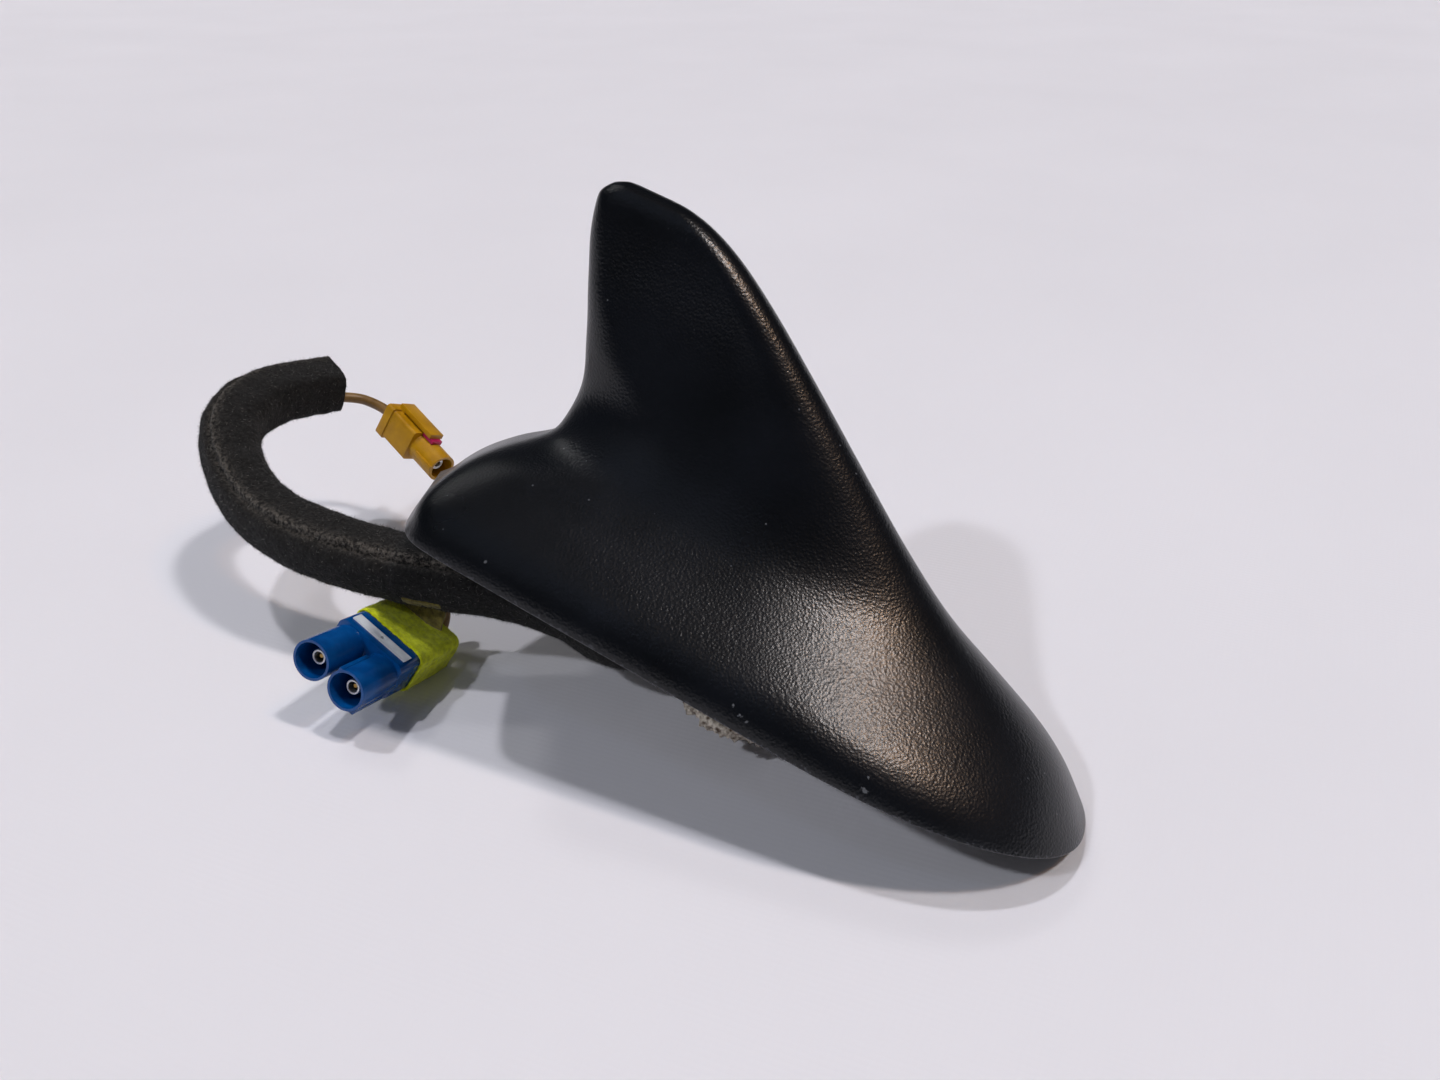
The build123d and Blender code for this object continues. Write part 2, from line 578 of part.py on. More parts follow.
jack += brick((latch_x, JACK_LATCH[0], JACK_LATCH_ROOT), (latch_x / 2, 0, JACK_LATCH_BACK))
jack -= rod(JACK_BORE_RADIUS, nose_end - JACK_BORE_DEPTH, nose_end)
jack -= rod(LEAD_RADIUS + FIT_GAP, -1, 0)
contact_foot = nose_end - JACK_BORE_DEPTH
jack_contact = rod(JACK_CONTACT_RADIUS, contact_foot, contact_foot + JACK_CONTACT_REACH)
jack_contact -= rod(JACK_CONTACT_BORE, contact_foot + 1, contact_foot + JACK_CONTACT_REACH)
lock_x = latch_x - JACK_LATCH[1] / 2 - JACK_LOCK[1] / 2
jack_lock = brick((JACK_LOCK[1], JACK_LOCK[0], JACK_LOCK[2]), (lock_x, 0, body_end))
jack_lock -= rod(JACK_NOSE_RADIUS + FIT_GAP, body_end, nose_end)
jack_housing = jack_plane * jack
jack_lock = jack_plane * jack_lock
jack_contact = jack_plane * jack_contact

# Twin plug: two open shrouds on a common block, with ribs, a lock strip and contacts; +Y is its top
plug_plane = facing(PLUG_MOUTH, PLUG_MOUTH_WAY, PLUG_ROW_WAY)
block_front = -PLUG_SHROUD_LENGTH
block_back = block_front - PLUG_BLOCK[2]
rear_back = block_back - PLUG_REAR[2]
plug = block(PLUG_BLOCK, PLUG_BLOCK_CORNER, (0, 0, block_back))
plug += block(PLUG_REAR, PLUG_REAR_CORNER, (0, 0, rear_back))
mouths = [side * PLUG_PITCH / 2 for side in (-1, 1)]
plug_contacts = Part()
plug_pins = Part()
for x in mouths:
    plug += rod(PLUG_SHROUD_RADIUS, block_front, 0, x)
rib_x = mouths[1] - PLUG_SHROUD_RADIUS * math.cos(PLUG_RIB_TURN)
rib_y = PLUG_SHROUD_RADIUS * math.sin(PLUG_RIB_TURN)
plug += brick(PLUG_RIB, (rib_x, rib_y, -PLUG_RIB[2]))
key_x = mouths[1] + PLUG_SHROUD_RADIUS / 3
plug += brick(PLUG_KEY, (key_x, PLUG_KEY_SINK - PLUG_SHROUD_RADIUS, block_front))
for x in mouths:
    foot = -PLUG_BORE_DEPTH
    plug -= rod(PLUG_SHROUD_BORE, foot, 0, x)
    plug_contacts += rod(PLUG_CONTACT_RADIUS, foot, -PLUG_CONTACT_SHORT, x)
    plug_contacts -= rod(PLUG_CONTACT_BORE, foot, -PLUG_CONTACT_SHORT, x)
    plug_pins += rod(PIN_RADIUS, foot, -PIN_SHORT, x)
plug_lead_spots = [side * PLUG_LEAD_SPACING / 2 for side in (-1, 1)]
for x in plug_lead_spots:
    plug -= rod(LEAD_RADIUS + FIT_GAP, rear_back, rear_back + PLUG_LEAD_SET_IN, x)
lock_back = block_front - PLUG_LOCK_BACK - PLUG_LOCK[2]
lock_y = PLUG_BLOCK[1] / 2 + PLUG_LOCK_PROUD - PLUG_LOCK[1] / 2
plug_lock = brick(PLUG_LOCK, (0, lock_y, lock_back))
plug -= plug_lock
hole_plane = Plane(origin=(0, lock_y, lock_back + PLUG_LOCK[2] / 2), z_dir=(0, -1, 0))
plug_lock -= hole_plane * Cylinder(PLUG_LOCK_HOLE, 2 * PLUG_LOCK[1])

# Fabric tape round the back of the twin plug, closed behind it
tape_front = block_back + TAPE_OVERLAP
tape_back = rear_back - TAPE_TAIL
tape_size = (PLUG_BLOCK[0] + 2 * TAPE_THICK, PLUG_BLOCK[1] + 2 * TAPE_THICK)
tape = block((*tape_size, tape_front - tape_back), PLUG_BLOCK_CORNER + TAPE_THICK, (0, 0, tape_back))
tape -= block((*PLUG_BLOCK[:2], TAPE_OVERLAP), PLUG_BLOCK_CORNER, (0, 0, block_back))
tape -= block((*PLUG_REAR[:2], PLUG_REAR[2]), PLUG_REAR_CORNER, (0, 0, rear_back))
for x in plug_lead_spots:
    tape -= rod(LEAD_RADIUS + FIT_GAP, tape_back, rear_back, x)
plug_housing = plug_plane * plug
plug_lock = plug_plane * plug_lock
plug_contacts = plug_plane * plug_contacts
plug_pins = plug_plane * plug_pins
tape_wrap = plug_plane * tape

# Two short leads from the twin plug up into the sleeve, and the tape that ties them to it
run_start = Vector(SLEEVE_ROUTE[TIE_RUN_COUNT])
run_way = Vector(SLEEVE_ROUTE[TIE_RUN_COUNT + 1]) - run_start
tie_middle = run_start + run_way * 0.5
plug_leads = Part()
for x in plug_lead_spots:
    set_in = plug_plane.from_local_coords(Vector(x, 0, rear_back + PLUG_LEAD_SET_IN))
    way_out = plug_plane.from_local_coords(Vector(x, 0, tape_back - LEAD_CLEAR))
    target = tie_middle + run_way.normalized() * (LEAD_ENTRY - x)
    way_up = Vector((way_out.X + target.X) / 2, way_out.Y, target.Z)
    lead, lead_path = tube((set_in, way_out, way_up, target), LEAD_RADIUS)
    plug_leads += lead - foam_sleeve
tie_plane = Plane(origin=tie_middle, z_dir=run_way.normalized())
tie_tape = tie_plane * Cylinder(SLEEVE_RADIUS + TIE_THICK, TIE_WIDTH)
open_side = Box(*(3 * [4 * SLEEVE_RADIUS]), align=(Align.CENTER, Align.CENTER, Align.MIN))
tie_tape -= Plane(origin=tie_middle, x_dir=run_way.normalized(), z_dir=TIE_OPEN_WAY) * open_side
tongue_spot = Vector(0, (tape_size[1] - TAPE_THICK) / 2, tape_back + TIE_WIDTH / 2)
tongue_foot = plug_plane.from_local_coords(tongue_spot)
tongue_way = tie_middle - tongue_foot
tongue_plane = Plane(origin=tongue_foot, x_dir=plug_plane.x_dir, z_dir=tongue_way.normalized())
tongue = Box(*TIE_TONGUE, tongue_way.length, align=(Align.CENTER, Align.CENTER, Align.MIN))
tie_tape += tongue_plane * tongue
for neighbour in (foam_sleeve, plug_leads, tape_wrap, plug_housing):
    tie_tape -= neighbour

NODES = {
    "fin_cover": fin_cover,
    "rim_gasket": rim_gasket,
    "base_plate": base_plate,
    "thread_insert": thread_insert,
    "hole_collar": hole_collar,
    "cover_screws": cover_screws,
    "main_board": main_board,
    "board_screws": board_screws,
    "position_patch": patches[0],
    "radio_patch": patches[1],
    "feed_pins": feed_pins,
    "shield_can": shield_can,
    "filter_chips": filter_chips,
    "phone_blade": phone_blade,
    "blade_holder": blade_holder,
    "lead_outlet": lead_outlet,
    "board_leads": board_leads,
    "foam_sleeve": foam_sleeve,
    "tail_lead": tail_lead,
    "jack_housing": jack_housing,
    "jack_lock": jack_lock,
    "jack_contact": jack_contact,
    "plug_housing": plug_housing,
    "plug_lock": plug_lock,
    "plug_contacts": plug_contacts,
    "plug_pins": plug_pins,
    "plug_leads": plug_leads,
    "tape_wrap": tape_wrap,
    "tie_tape": tie_tape,
}

print("sleeve bend radii", [round(radius, 1) for radius in bend_radii(SLEEVE_ROUTE)])
print("sleeve length", round(sleeve_path.length, 1), "tail lead length", round(tail_path.length, 1))
os.makedirs("parts", exist_ok=True)
for name, solid in NODES.items():
    export_step(solid, f"parts/{name}.step")
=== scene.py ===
"""Shark fin roof aerial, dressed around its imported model: cover, foam sleeve, connectors and tape.

Sizes are millimetres in the part's own frame, and become metres where meshes are made.
"""

import json
import math

import bmesh
import bpy
from mathutils import Matrix, Vector, noise


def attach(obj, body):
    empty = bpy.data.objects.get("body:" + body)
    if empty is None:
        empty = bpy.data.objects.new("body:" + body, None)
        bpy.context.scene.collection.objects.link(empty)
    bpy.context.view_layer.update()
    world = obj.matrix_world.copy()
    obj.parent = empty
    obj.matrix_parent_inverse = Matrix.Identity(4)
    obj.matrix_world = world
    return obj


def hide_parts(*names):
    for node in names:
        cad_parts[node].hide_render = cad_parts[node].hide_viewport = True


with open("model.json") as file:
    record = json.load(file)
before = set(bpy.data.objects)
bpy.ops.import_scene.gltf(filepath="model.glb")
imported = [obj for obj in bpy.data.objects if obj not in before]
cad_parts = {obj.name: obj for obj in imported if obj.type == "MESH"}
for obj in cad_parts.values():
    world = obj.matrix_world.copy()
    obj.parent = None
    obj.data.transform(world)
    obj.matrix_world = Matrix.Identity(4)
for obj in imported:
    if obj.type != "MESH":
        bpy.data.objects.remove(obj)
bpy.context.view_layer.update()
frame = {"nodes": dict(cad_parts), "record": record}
scene = bpy.context.scene
scene.view_settings.view_transform = "Standard"
MM = 0.001

# Camera: its place, the ways that the picture's right, foot and depth point, its lens and its range
CAMERA_SPOT = (35.74, -215.98, 103.17)
CAMERA_RIGHT = Vector((0.8598, 0.3553, 0.3668))
CAMERA_DOWN = Vector((0.4598, -0.2262, -0.8587))
CAMERA_FORWARD = Vector((-0.2221, 0.9070, -0.3578))
SENSOR_WIDTH = 36.0
FOCAL_LENGTH = 28.625
CLIP_NEAR = 10.0
CLIP_FAR = 100000.0

# Table: the aerial lies on it with its nose down, so the table's upward way leans in the part's frame
TABLE_UP = Vector((-0.2870, -0.2576, 0.9226)).normalized()
TABLE_DROP = 22.0
TABLE_SIDE = 14000.0
WEAVE_STEP = 1.3
WEAVE_DEPTH = 0.02
STAIN_SIZE = 160.0

# Radians that the wave texture turns on one unit at scale 1
WAVE_RATE = 20.0

# Light: each lamp's way, its share of the light on the table and in gloss, its width in degrees, its colour
LAMPS = (
    ("left_lamp", (-0.55, -0.73, 0.40), 0.17, 0.01, 3.0, "#F2F6FF"),
    ("tip_lamp", (-0.39, -0.62, 0.68), 0.02, 0.025, 4.0, "#C8DCFF"),
    ("back_lamp", (-0.56, -0.25, 0.79), 0.28, 0.01, 3.0, "#F8F8FF"),
    ("rim_lamp", (-0.78, 0.05, 0.62), 0.06, 0.08, 6.0, "#FFFFFF"),
    ("top_lamp", (0.16, -0.23, 0.960), 0.32, 0.40, 5.0, "#FAF9FC"),
    ("warm_lamp", (0.27, -0.20, 0.942), 0.06, 0.22, 4.0, "#FFC894"),
)
FILL_SHARE = 0.13
FILL_COLOUR = "#F7F8FF"
BACKDROP_COLOUR = "#DEDCE2"

# Dark canopy: its shade, how far off it hangs, the angle over the table where it starts, its rows and turns
CANOPY_COLOUR = "#2A2B2E"
CANOPY_REACH = 3000.0
CANOPY_FOOT = math.radians(8)
CANOPY_ROWS = 12
CANOPY_TURNS = 32

# Cover: overall sizes, wall, gap and rounding under the lower edge, and the roof of the hollow
NOSE_REACH = 74.0
TAIL_REACH = 84.0
COVER_WIDTH = 71.0
COVER_HEIGHT = 76.5
COVER_WALL = 2.4
EDGE_GAP = 0.4
EDGE_ROUND = 0.3
CAVITY_TOP = 56.0
CAVITY_INSET = 1.1 * COVER_WALL
LENGTH = NOSE_REACH + TAIL_REACH

# Level sections of the cover. The upper fin has flatter sides and a rounder rim than the solid
# Columns: height, front and back ends, width, nose's share and bluntness, tail's share, shoulder, end, rake
SECTIONS = (
    (0.000, 0.000, 1.000, 1.000, 0.36, 2.30, 0.20, 4.2, 3.6, 2.4),
    (0.039, 0.019, 0.979, 0.990, 0.37, 2.25, 0.20, 4.0, 3.4, 2.9),
    (0.092, 0.045, 0.962, 0.935, 0.39, 2.15, 0.16, 3.4, 3.6, 3.8),
    (0.157, 0.085, 0.936, 0.800, 0.42, 2.00, 0.14, 2.8, 3.6, 5.0),
    (0.235, 0.158, 0.894, 0.625, 0.45, 1.90, 0.14, 2.5, 3.4, 8.0),
    (0.327, 0.256, 0.839, 0.455, 0.47, 1.90, 0.33, 2.1, 2.5, 9.0),
    (0.444, 0.348, 0.833, 0.325, 0.40, 1.95, 0.40, 2.0, 2.0, 9.0),
    (0.588, 0.446, 0.850, 0.228, 0.28, 2.00, 0.21, 2.0, 2.0, 9.0),
    (0.745, 0.551, 0.876, 0.168, 0.21, 2.00, 0.13, 2.0, 2.0, 9.0),
    (0.863, 0.634, 0.894, 0.146, 0.20, 2.00, 0.13, 2.0, 2.0, 9.0),
    (0.941, 0.698, 0.899, 0.126, 0.23, 2.00, 0.16, 2.0, 2.0, 9.0),
    (0.980, 0.744, 0.886, 0.092, 0.26, 2.00, 0.21, 2.0, 2.0, 9.0),
    (0.994, 0.772, 0.872, 0.055, 0.28, 2.00, 0.26, 2.0, 2.0, 9.0),
    (0.998, 0.786, 0.865, 0.033, 0.28, 2.00, 0.26, 2.0, 2.0, 9.0),
    (1.000, 0.806, 0.852, 0.000, 0.28, 2.00, 0.26, 2.0, 2.0, 9.0),
)
RAKE_BLEND = 8.0

# Smoothing of the sections over the height, and how closely the cover's rows and points stand
LAW_BLUR = 0.028
LAW_BLUR_END = 0.12
BLUR_WEIGHTS = (1, 4, 6, 4, 1)
OUTER_ROWS = 140
INNER_ROWS = 24
EDGE_ROWS = 3
ROW_CROWDING = 2.2
FINE_TURNS = 400
HALF_POINTS = 110
BEND_WEIGHT = 0.6

# Face of the cover: steps of its pebbles, grain, shade, dust and frayed outlines, and the grain's depth
PEBBLE_STEP = 0.6
GRAIN_STEP = 0.45
GRAIN_DEPTH = 0.05
SHADE_STEP = 22.0
DUST_STEP = 5.5
FRAY_STEP = 0.7

# A dust speck's edge and heart as shares of its step, and how far fraying moves an outline in and out
DUST_EDGE = 0.045
DUST_HEART = 0.02
FRAY_RANGE = {"To Min": 0.4, "To Max": 1.6}

# Wear: height of the pale lower band, places and sizes of scuffs and chips, and how much of each is full
EDGE_WEAR = 0.7
EDGE_HEART = 0.8
WEAR_MARKS = (
    ((-49.5, -34.4, 4.8), 0.35),
    ((5.6, -34.5, 4.6), 0.25),
    ((7.5, -34.9, 3.7), 0.35),
    ((9.1, -35.0, 3.1), 0.30),
    ((32.6, -33.0, 4.6), 0.30),
    ((33.1, -34.0, 2.4), 0.45),
)
MARK_HEART = 0.6

# Parts of a noise's range that patches, slow changes, foam and felt are drawn from
PATCH_SPAN = {"From Min": 0.35, "From Max": 0.65}
DRIFT_SPAN = {"From Min": 0.3, "From Max": 0.7}
FOAM_SPAN = {"From Min": 0.42, "From Max": 0.66}
FELT_SPAN = {"From Min": 0.36, "From Max": 0.64}

# Foam sleeve: the cord's route, and its width, thickness and squareness at shares of its length
OUTLET_X = -24.0
SLEEVE_ROUTE = (
    (OUTLET_X, 0.0, EDGE_GAP),
    (OUTLET_X, 0.0, -9.4),
    (-30.5, 3.3, -15.4),
    (-44.5, 6.0, -15.6),
    (-57.0, 2.8, -16.8),
    (-69.5, -2.0, -19.5),
    (-82.0, -5.6, -22.7),
    (-94.0, -7.3, -25.3),
    (-104.5, -7.6, -27.4),
    (-114.5, -6.8, -28.6),
    (-124.5, -4.6, -28.8),
    (-133.5, -1.2, -27.3),
    (-142.5, 3.6, -24.2),
    (-149.0, 10.6, -20.4),
    (-151.4, 20.0, -17.0),
    (-149.6, 31.2, -14.0),
    (-145.7, 42.0, -12.0),
)
SLEEVE_SIZES = (
    (0.00, 14.4, 14.2, 2.4),
    (0.30, 15.0, 14.2, 2.6),
    (0.55, 15.2, 14.0, 2.8),
    (0.72, 13.8, 13.2, 2.8),
    (0.85, 14.6, 12.6, 3.2),
    (1.00, 12.4, 12.0, 5.0),
)
SLEEVE_TURNS = 96
SLEEVE_STEPS = 20
SLEEVE_SIDE = Vector((0.0, 1.0, 0.0))
SLEEVE_SHARP = math.radians(60)

# Fold along the sleeve, with a lip and pale wisps beside it, set off and spread in widths of the fold
SEAM_TURN = math.radians(238)
SEAM_WIDTH = math.radians(8)
SEAM_DEPTH = 1.1
LIP_HEIGHT = 0.6
LIP_OFFSET = 2.0
LIP_SPREAD = 2.0
WISP_OFFSET = 1.0
WISP_SPREAD = 1.5

# Rough face of the foam: sizes and depths of its lumps and pile, and of the pits in its shading
FOAM_LUMP = 5.0
FOAM_LUMP_DEPTH = 0.35
FOAM_PILE = 0.9
FOAM_PILE_DEPTH = 0.22
FOAM_PIT = 0.8
FOAM_PIT_DEPTH = 0.35

# Tail lead, the fineness of its curve and round, and the jack that it ends in
LEAD_RADIUS = 1.4
TAIL_LEAD_STEPS = 24
TAIL_LEAD_ROUND = 8
TAIL_LEAD_DROP = 3.5
TAIL_LEAD_HIDDEN = 12.0
TAIL_LEAD_SHOWN = 5.0
JACK_REAR = Vector((-127.9, 48.0, -14.6))
JACK_NOSE_WAY = Vector((0.947, -0.279, -0.158)).normalized()

# Fibres on foam and tape: count on a square centimetre, length, thickness, lean in radians, random seed
FOAM_FIBRES = (600, 1.0, 0.035, 1.2, 5)
LINT_FIBRES = (45, 1.1, 0.03, 1.5, 8)
TAPE_FIBRES = (260, 0.45, 0.05, 1.1, 3)
FIBRE_SHORTEST = 0.35
FIBRE_SIDES = 3
PER_SQUARE_CM = 1e4

# Felted tape: cell of its mesh, rounds of smoothing, lumps and finer ones as shares of them, mottling, grain
TAPE_VOXEL = 0.32
TAPE_SMOOTHING = 3
TAPE_LUMP = 2.2
TAPE_LUMP_DEPTH = 0.16
TAPE_FINE_SIZE = 0.3
TAPE_FINE_DEPTH = 0.5
TAPE_MOTTLE = 1.6
TAPE_GRAIN = 0.35
TAPE_GRAIN_DEPTH = 0.12

# Moulded edges of the connectors: roundings, their steps, and the angles where rounding and creases start
MOULDED_EDGES = {
    "jack_housing": 0.3,
    "jack_lock": 0.2,
    "plug_housing": 0.25,
    "plug_lock": 0.2,
    "plug_contacts": 0.12,
}
MOULDED_STEPS = 3
MOULDED_FROM = math.radians(40)
SHARP_FROM = math.radians(32)

# Welding: points nearer than these are one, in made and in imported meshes, and packed faces within this angle
MADE_WELD = 0.001
PACKED_WELD = 0.002
PACKED_FLAT = math.radians(1)

# Old sealant crumbs on the collar's lower rim: ring, section, and how much lumps and grain swell it
COLLAR_DEPTH = 13.5
CRUST_RADIUS = 11.2
CRUST_SIZE = 1.5
CRUST_HEIGHT = 2.6
CRUST_LUMP = 2.6
CRUST_GRAIN = 0.8
CRUST_FILL = 0.75
CRUST_LEAST = 0.15
LUMP_SWELL = 0.55
GRAIN_SWELL = 0.35
CRUST_TURNS = 220
CRUST_ROUND = 22


def linear(code):
    """Linear colour of an sRGB hex value."""
    parts = [int(code[k:k + 2], 16) / 255 for k in (1, 3, 5)]
    tones = [part / 12.92 if part <= 0.04045 else ((part + 0.055) / 1.055) ** 2.4 for part in parts]
    return (*tones, 1.0)


def add(tree, kind, inputs=None, **settings):
    """Add one node with its settings, and fill or link its inputs."""
    made = tree.nodes.new(kind)
    for key, value in settings.items():
        setattr(made, key, value)
    for key, value in (inputs or {}).items():
        if isinstance(value, bpy.types.NodeSocket):
            tree.links.new(value, made.inputs[key])
        else:
            made.inputs[key].default_value = value
    return made


def blank_material(name):
    """Material with an empty tree, and the Object coordinates that its patterns read."""
    material = bpy.data.materials.new(name)
    material.use_nodes = True
    tree = material.node_tree
    tree.nodes.clear()
    return material, tree, add(tree, "ShaderNodeTexCoord").outputs["Object"]


def plain_finish(name, shades, patch, roughness, grain=0.4, relief=0.0, **fixed):
    """Material whose shade and roughness drift over patches of a size, with a fine grain in relief."""
    material, tree, place = blank_material(name)
    drift = add(tree, "ShaderNodeTexNoise", {"Vector": place, "Scale": 1 / (patch * MM), "Detail": 5.0})
    share = add(tree, "ShaderNodeMapRange", {"Value": drift.outputs["Fac"], **PATCH_SPAN})
    shade = add(
        tree, "ShaderNodeMix",
        {0: share.outputs["Result"], 6: linear(shades[0]), 7: linear(shades[1])}, data_type="RGBA",
    )
    rough = add(
        tree, "ShaderNodeMapRange",
        {"Value": drift.outputs["Fac"], **DRIFT_SPAN, "To Min": roughness[0], "To Max": roughness[1]},
    )
    fine = add(tree, "ShaderNodeTexNoise", {"Vector": place, "Scale": 1 / (grain * MM), "Detail": 3.0})
    bump = add(tree, "ShaderNodeBump", {"Height": fine.outputs["Fac"], "Distance": relief * MM})
    inputs = {
        "Base Color": shade.outputs[2],
        "Roughness": rough.outputs["Result"],
        "Normal": bump.outputs["Normal"],
        **fixed,
    }
    shader = add(tree, "ShaderNodeBsdfPrincipled", inputs)
    add(tree, "ShaderNodeOutputMaterial", {"Surface": shader.outputs["BSDF"]})
    return material


def worn_shares(tree, place):
    """Shares of the paler band at the cover's lower edge, and of the dust, scuffs and chips on its face."""
    frays = add(tree, "ShaderNodeTexNoise", {"Vector": place, "Scale": 1 / (FRAY_STEP * MM), "Detail": 4.0})
    frays = add(tree, "ShaderNodeMapRange", {"Value": frays.outputs["Fac"], **DRIFT_SPAN, **FRAY_RANGE})
    fray = frays.outputs["Result"]
    lift = add(tree, "ShaderNodeSeparateXYZ", {"Vector": place})
    lift = add(tree, "ShaderNodeMath", {0: lift.outputs["Z"], 1: fray}, operation="MULTIPLY")
    band = add(
        tree, "ShaderNodeMapRange",
        {"Value": lift.outputs[0], "From Min": EDGE_WEAR * MM, "From Max": EDGE_HEART * EDGE_WEAR * MM},
    )
    dust = add(tree, "ShaderNodeTexVoronoi", {"Vector": place, "Scale": 1 / (DUST_STEP * MM)})
    specks = add(
        tree, "ShaderNodeMapRange",
        {"Value": dust.outputs["Distance"], "From Min": DUST_EDGE, "From Max": DUST_HEART},
    )
    worn = specks.outputs["Result"]
    for spot, size in WEAR_MARKS:
        gap = add(tree, "ShaderNodeVectorMath", {0: place, 1: Vector(spot) * MM}, operation="DISTANCE")
        gap = add(tree, "ShaderNodeMath", {0: gap.outputs["Value"], 1: fray}, operation="MULTIPLY")
        mark = add(
            tree, "ShaderNodeMapRange",
            {"Value": gap.outputs[0], "From Min": size * MM, "From Max": MARK_HEART * size * MM},
        )
        worn = add(tree, "ShaderNodeMath", {0: worn, 1: mark.outputs[0]}, operation="MAXIMUM").outputs[0]
    return band.outputs["Result"], worn


def grained_plastic():
    """Black moulded ABS: near black with a blue cast, satin, with a fine pebble grain that sparkles."""
    material, tree, place = blank_material("grained_abs")
    pebbles = add(
        tree, "ShaderNodeTexVoronoi", {"Vector": place, "Scale": 1 / (PEBBLE_STEP * MM), "Smoothness": 0.3},
        feature="SMOOTH_F1",
    )
    fine = add(tree, "ShaderNodeTexNoise", {"Vector": place, "Scale": 1 / (GRAIN_STEP * MM), "Detail": 3.0})
    height = add(
        tree, "ShaderNodeMath", {0: pebbles.outputs["Distance"], 1: fine.outputs["Fac"]}, operation="ADD"
    )
    bump = add(
        tree, "ShaderNodeBump", {"Height": height.outputs[0], "Distance": GRAIN_DEPTH * MM, "Strength": 0.9}
    )
    drift = add(tree, "ShaderNodeTexNoise", {"Vector": place, "Scale": 1 / (SHADE_STEP * MM), "Detail": 4.0})
    share = add(tree, "ShaderNodeMapRange", {"Value": drift.outputs["Fac"], **PATCH_SPAN})
    shade = add(
        tree, "ShaderNodeMix",
        {0: share.outputs["Result"], 6: linear("#06080C"), 7: linear("#0A0D13")}, data_type="RGBA",
    )
    band, worn = worn_shares(tree, place)
    for part, colour in ((band, "#34353A"), (worn, "#56585C")):
        shade = add(
            tree, "ShaderNodeMix", {0: part, 6: shade.outputs[2], 7: linear(colour)}, data_type="RGBA"
        )
    rough = add(
        tree, "ShaderNodeMapRange",
        {"Value": drift.outputs["Fac"], **DRIFT_SPAN, "To Min": 0.27, "To Max": 0.32},
    )
    inputs = {
        "Base Color": shade.outputs[2],
        "Specular IOR Level": 0.38,
        "Roughness": rough.outputs["Result"],
        "Normal": bump.outputs["Normal"],
        "IOR": 1.5,
    }
    shader = add(tree, "ShaderNodeBsdfPrincipled", inputs)
    add(tree, "ShaderNodeOutputMaterial", {"Surface": shader.outputs["BSDF"]})
    return material


def foam_fabric():
    """Charcoal needled foam: no gloss, grey fibres with painted shade that darkens the pits of its relief,
    paler along the fold.
    """
    material, tree, place = blank_material("charcoal_foam")
    pits = add(
        tree, "ShaderNodeTexNoise",
        {"Vector": place, "Scale": 1 / (FOAM_PIT * MM), "Detail": 6.0, "Roughness": 0.7},
    )
    # Painted shade: the colour follows the same noise as the relief and is darker where the relief is low, so
    # the pits hold shade as well as the foam's own charcoal
    share = add(tree, "ShaderNodeMapRange", {"Value": pits.outputs["Fac"], **FOAM_SPAN})
    shade = add(
        tree, "ShaderNodeMix",
        {0: share.outputs["Result"], 6: linear("#080808"), 7: linear("#232221")}, data_type="RGBA",
    )
    fold = add(tree, "ShaderNodeAttribute", attribute_name="fold")
    wisps = add(
        tree, "ShaderNodeMath", {0: fold.outputs["Fac"], 1: share.outputs["Result"]}, operation="MULTIPLY"
    )
    shade = add(
        tree, "ShaderNodeMix",
        {0: wisps.outputs[0], 6: shade.outputs[2], 7: linear("#6E6860")}, data_type="RGBA",
    )
    bump = add(tree, "ShaderNodeBump", {"Height": pits.outputs["Fac"], "Distance": FOAM_PIT_DEPTH * MM})
    inputs = {
        "Base Color": shade.outputs[2],
        "Roughness": 0.95,
        "Specular IOR Level": 0.2,
        "Sheen Weight": 0.08,
        "Sheen Roughness": 0.6,
        "Normal": bump.outputs["Normal"],
    }
    shader = add(tree, "ShaderNodeBsdfPrincipled", inputs)
    add(tree, "ShaderNodeOutputMaterial", {"Surface": shader.outputs["BSDF"]})
    return material


def felt_tape(name, shades):
    """Needled fabric tape: matt and mottled, with a short pile."""
    material, tree, place = blank_material(name)
    mottle = add(
        tree, "ShaderNodeTexNoise",
        {"Vector": place, "Scale": 1 / (TAPE_MOTTLE * MM), "Detail": 8.0, "Roughness": 0.7},
    )
    share = add(tree, "ShaderNodeMapRange", {"Value": mottle.outputs["Fac"], **FELT_SPAN})
    shade = add(
        tree, "ShaderNodeMix",
        {0: share.outputs["Result"], 6: linear(shades[0]), 7: linear(shades[1])}, data_type="RGBA",
    )
    pile = add(tree, "ShaderNodeTexNoise", {"Vector": place, "Scale": 1 / (TAPE_GRAIN * MM), "Detail": 3.0})
    bump = add(tree, "ShaderNodeBump", {"Height": pile.outputs["Fac"], "Distance": TAPE_GRAIN_DEPTH * MM})
    inputs = {
        "Base Color": shade.outputs[2],
        "Roughness": 0.9,
        "Specular IOR Level": 0.25,
        "Sheen Weight": 0.2,
        "Normal": bump.outputs["Normal"],
    }
    shader = add(tree, "ShaderNodeBsdfPrincipled", inputs)
    add(tree, "ShaderNodeOutputMaterial", {"Surface": shader.outputs["BSDF"]})
    return material


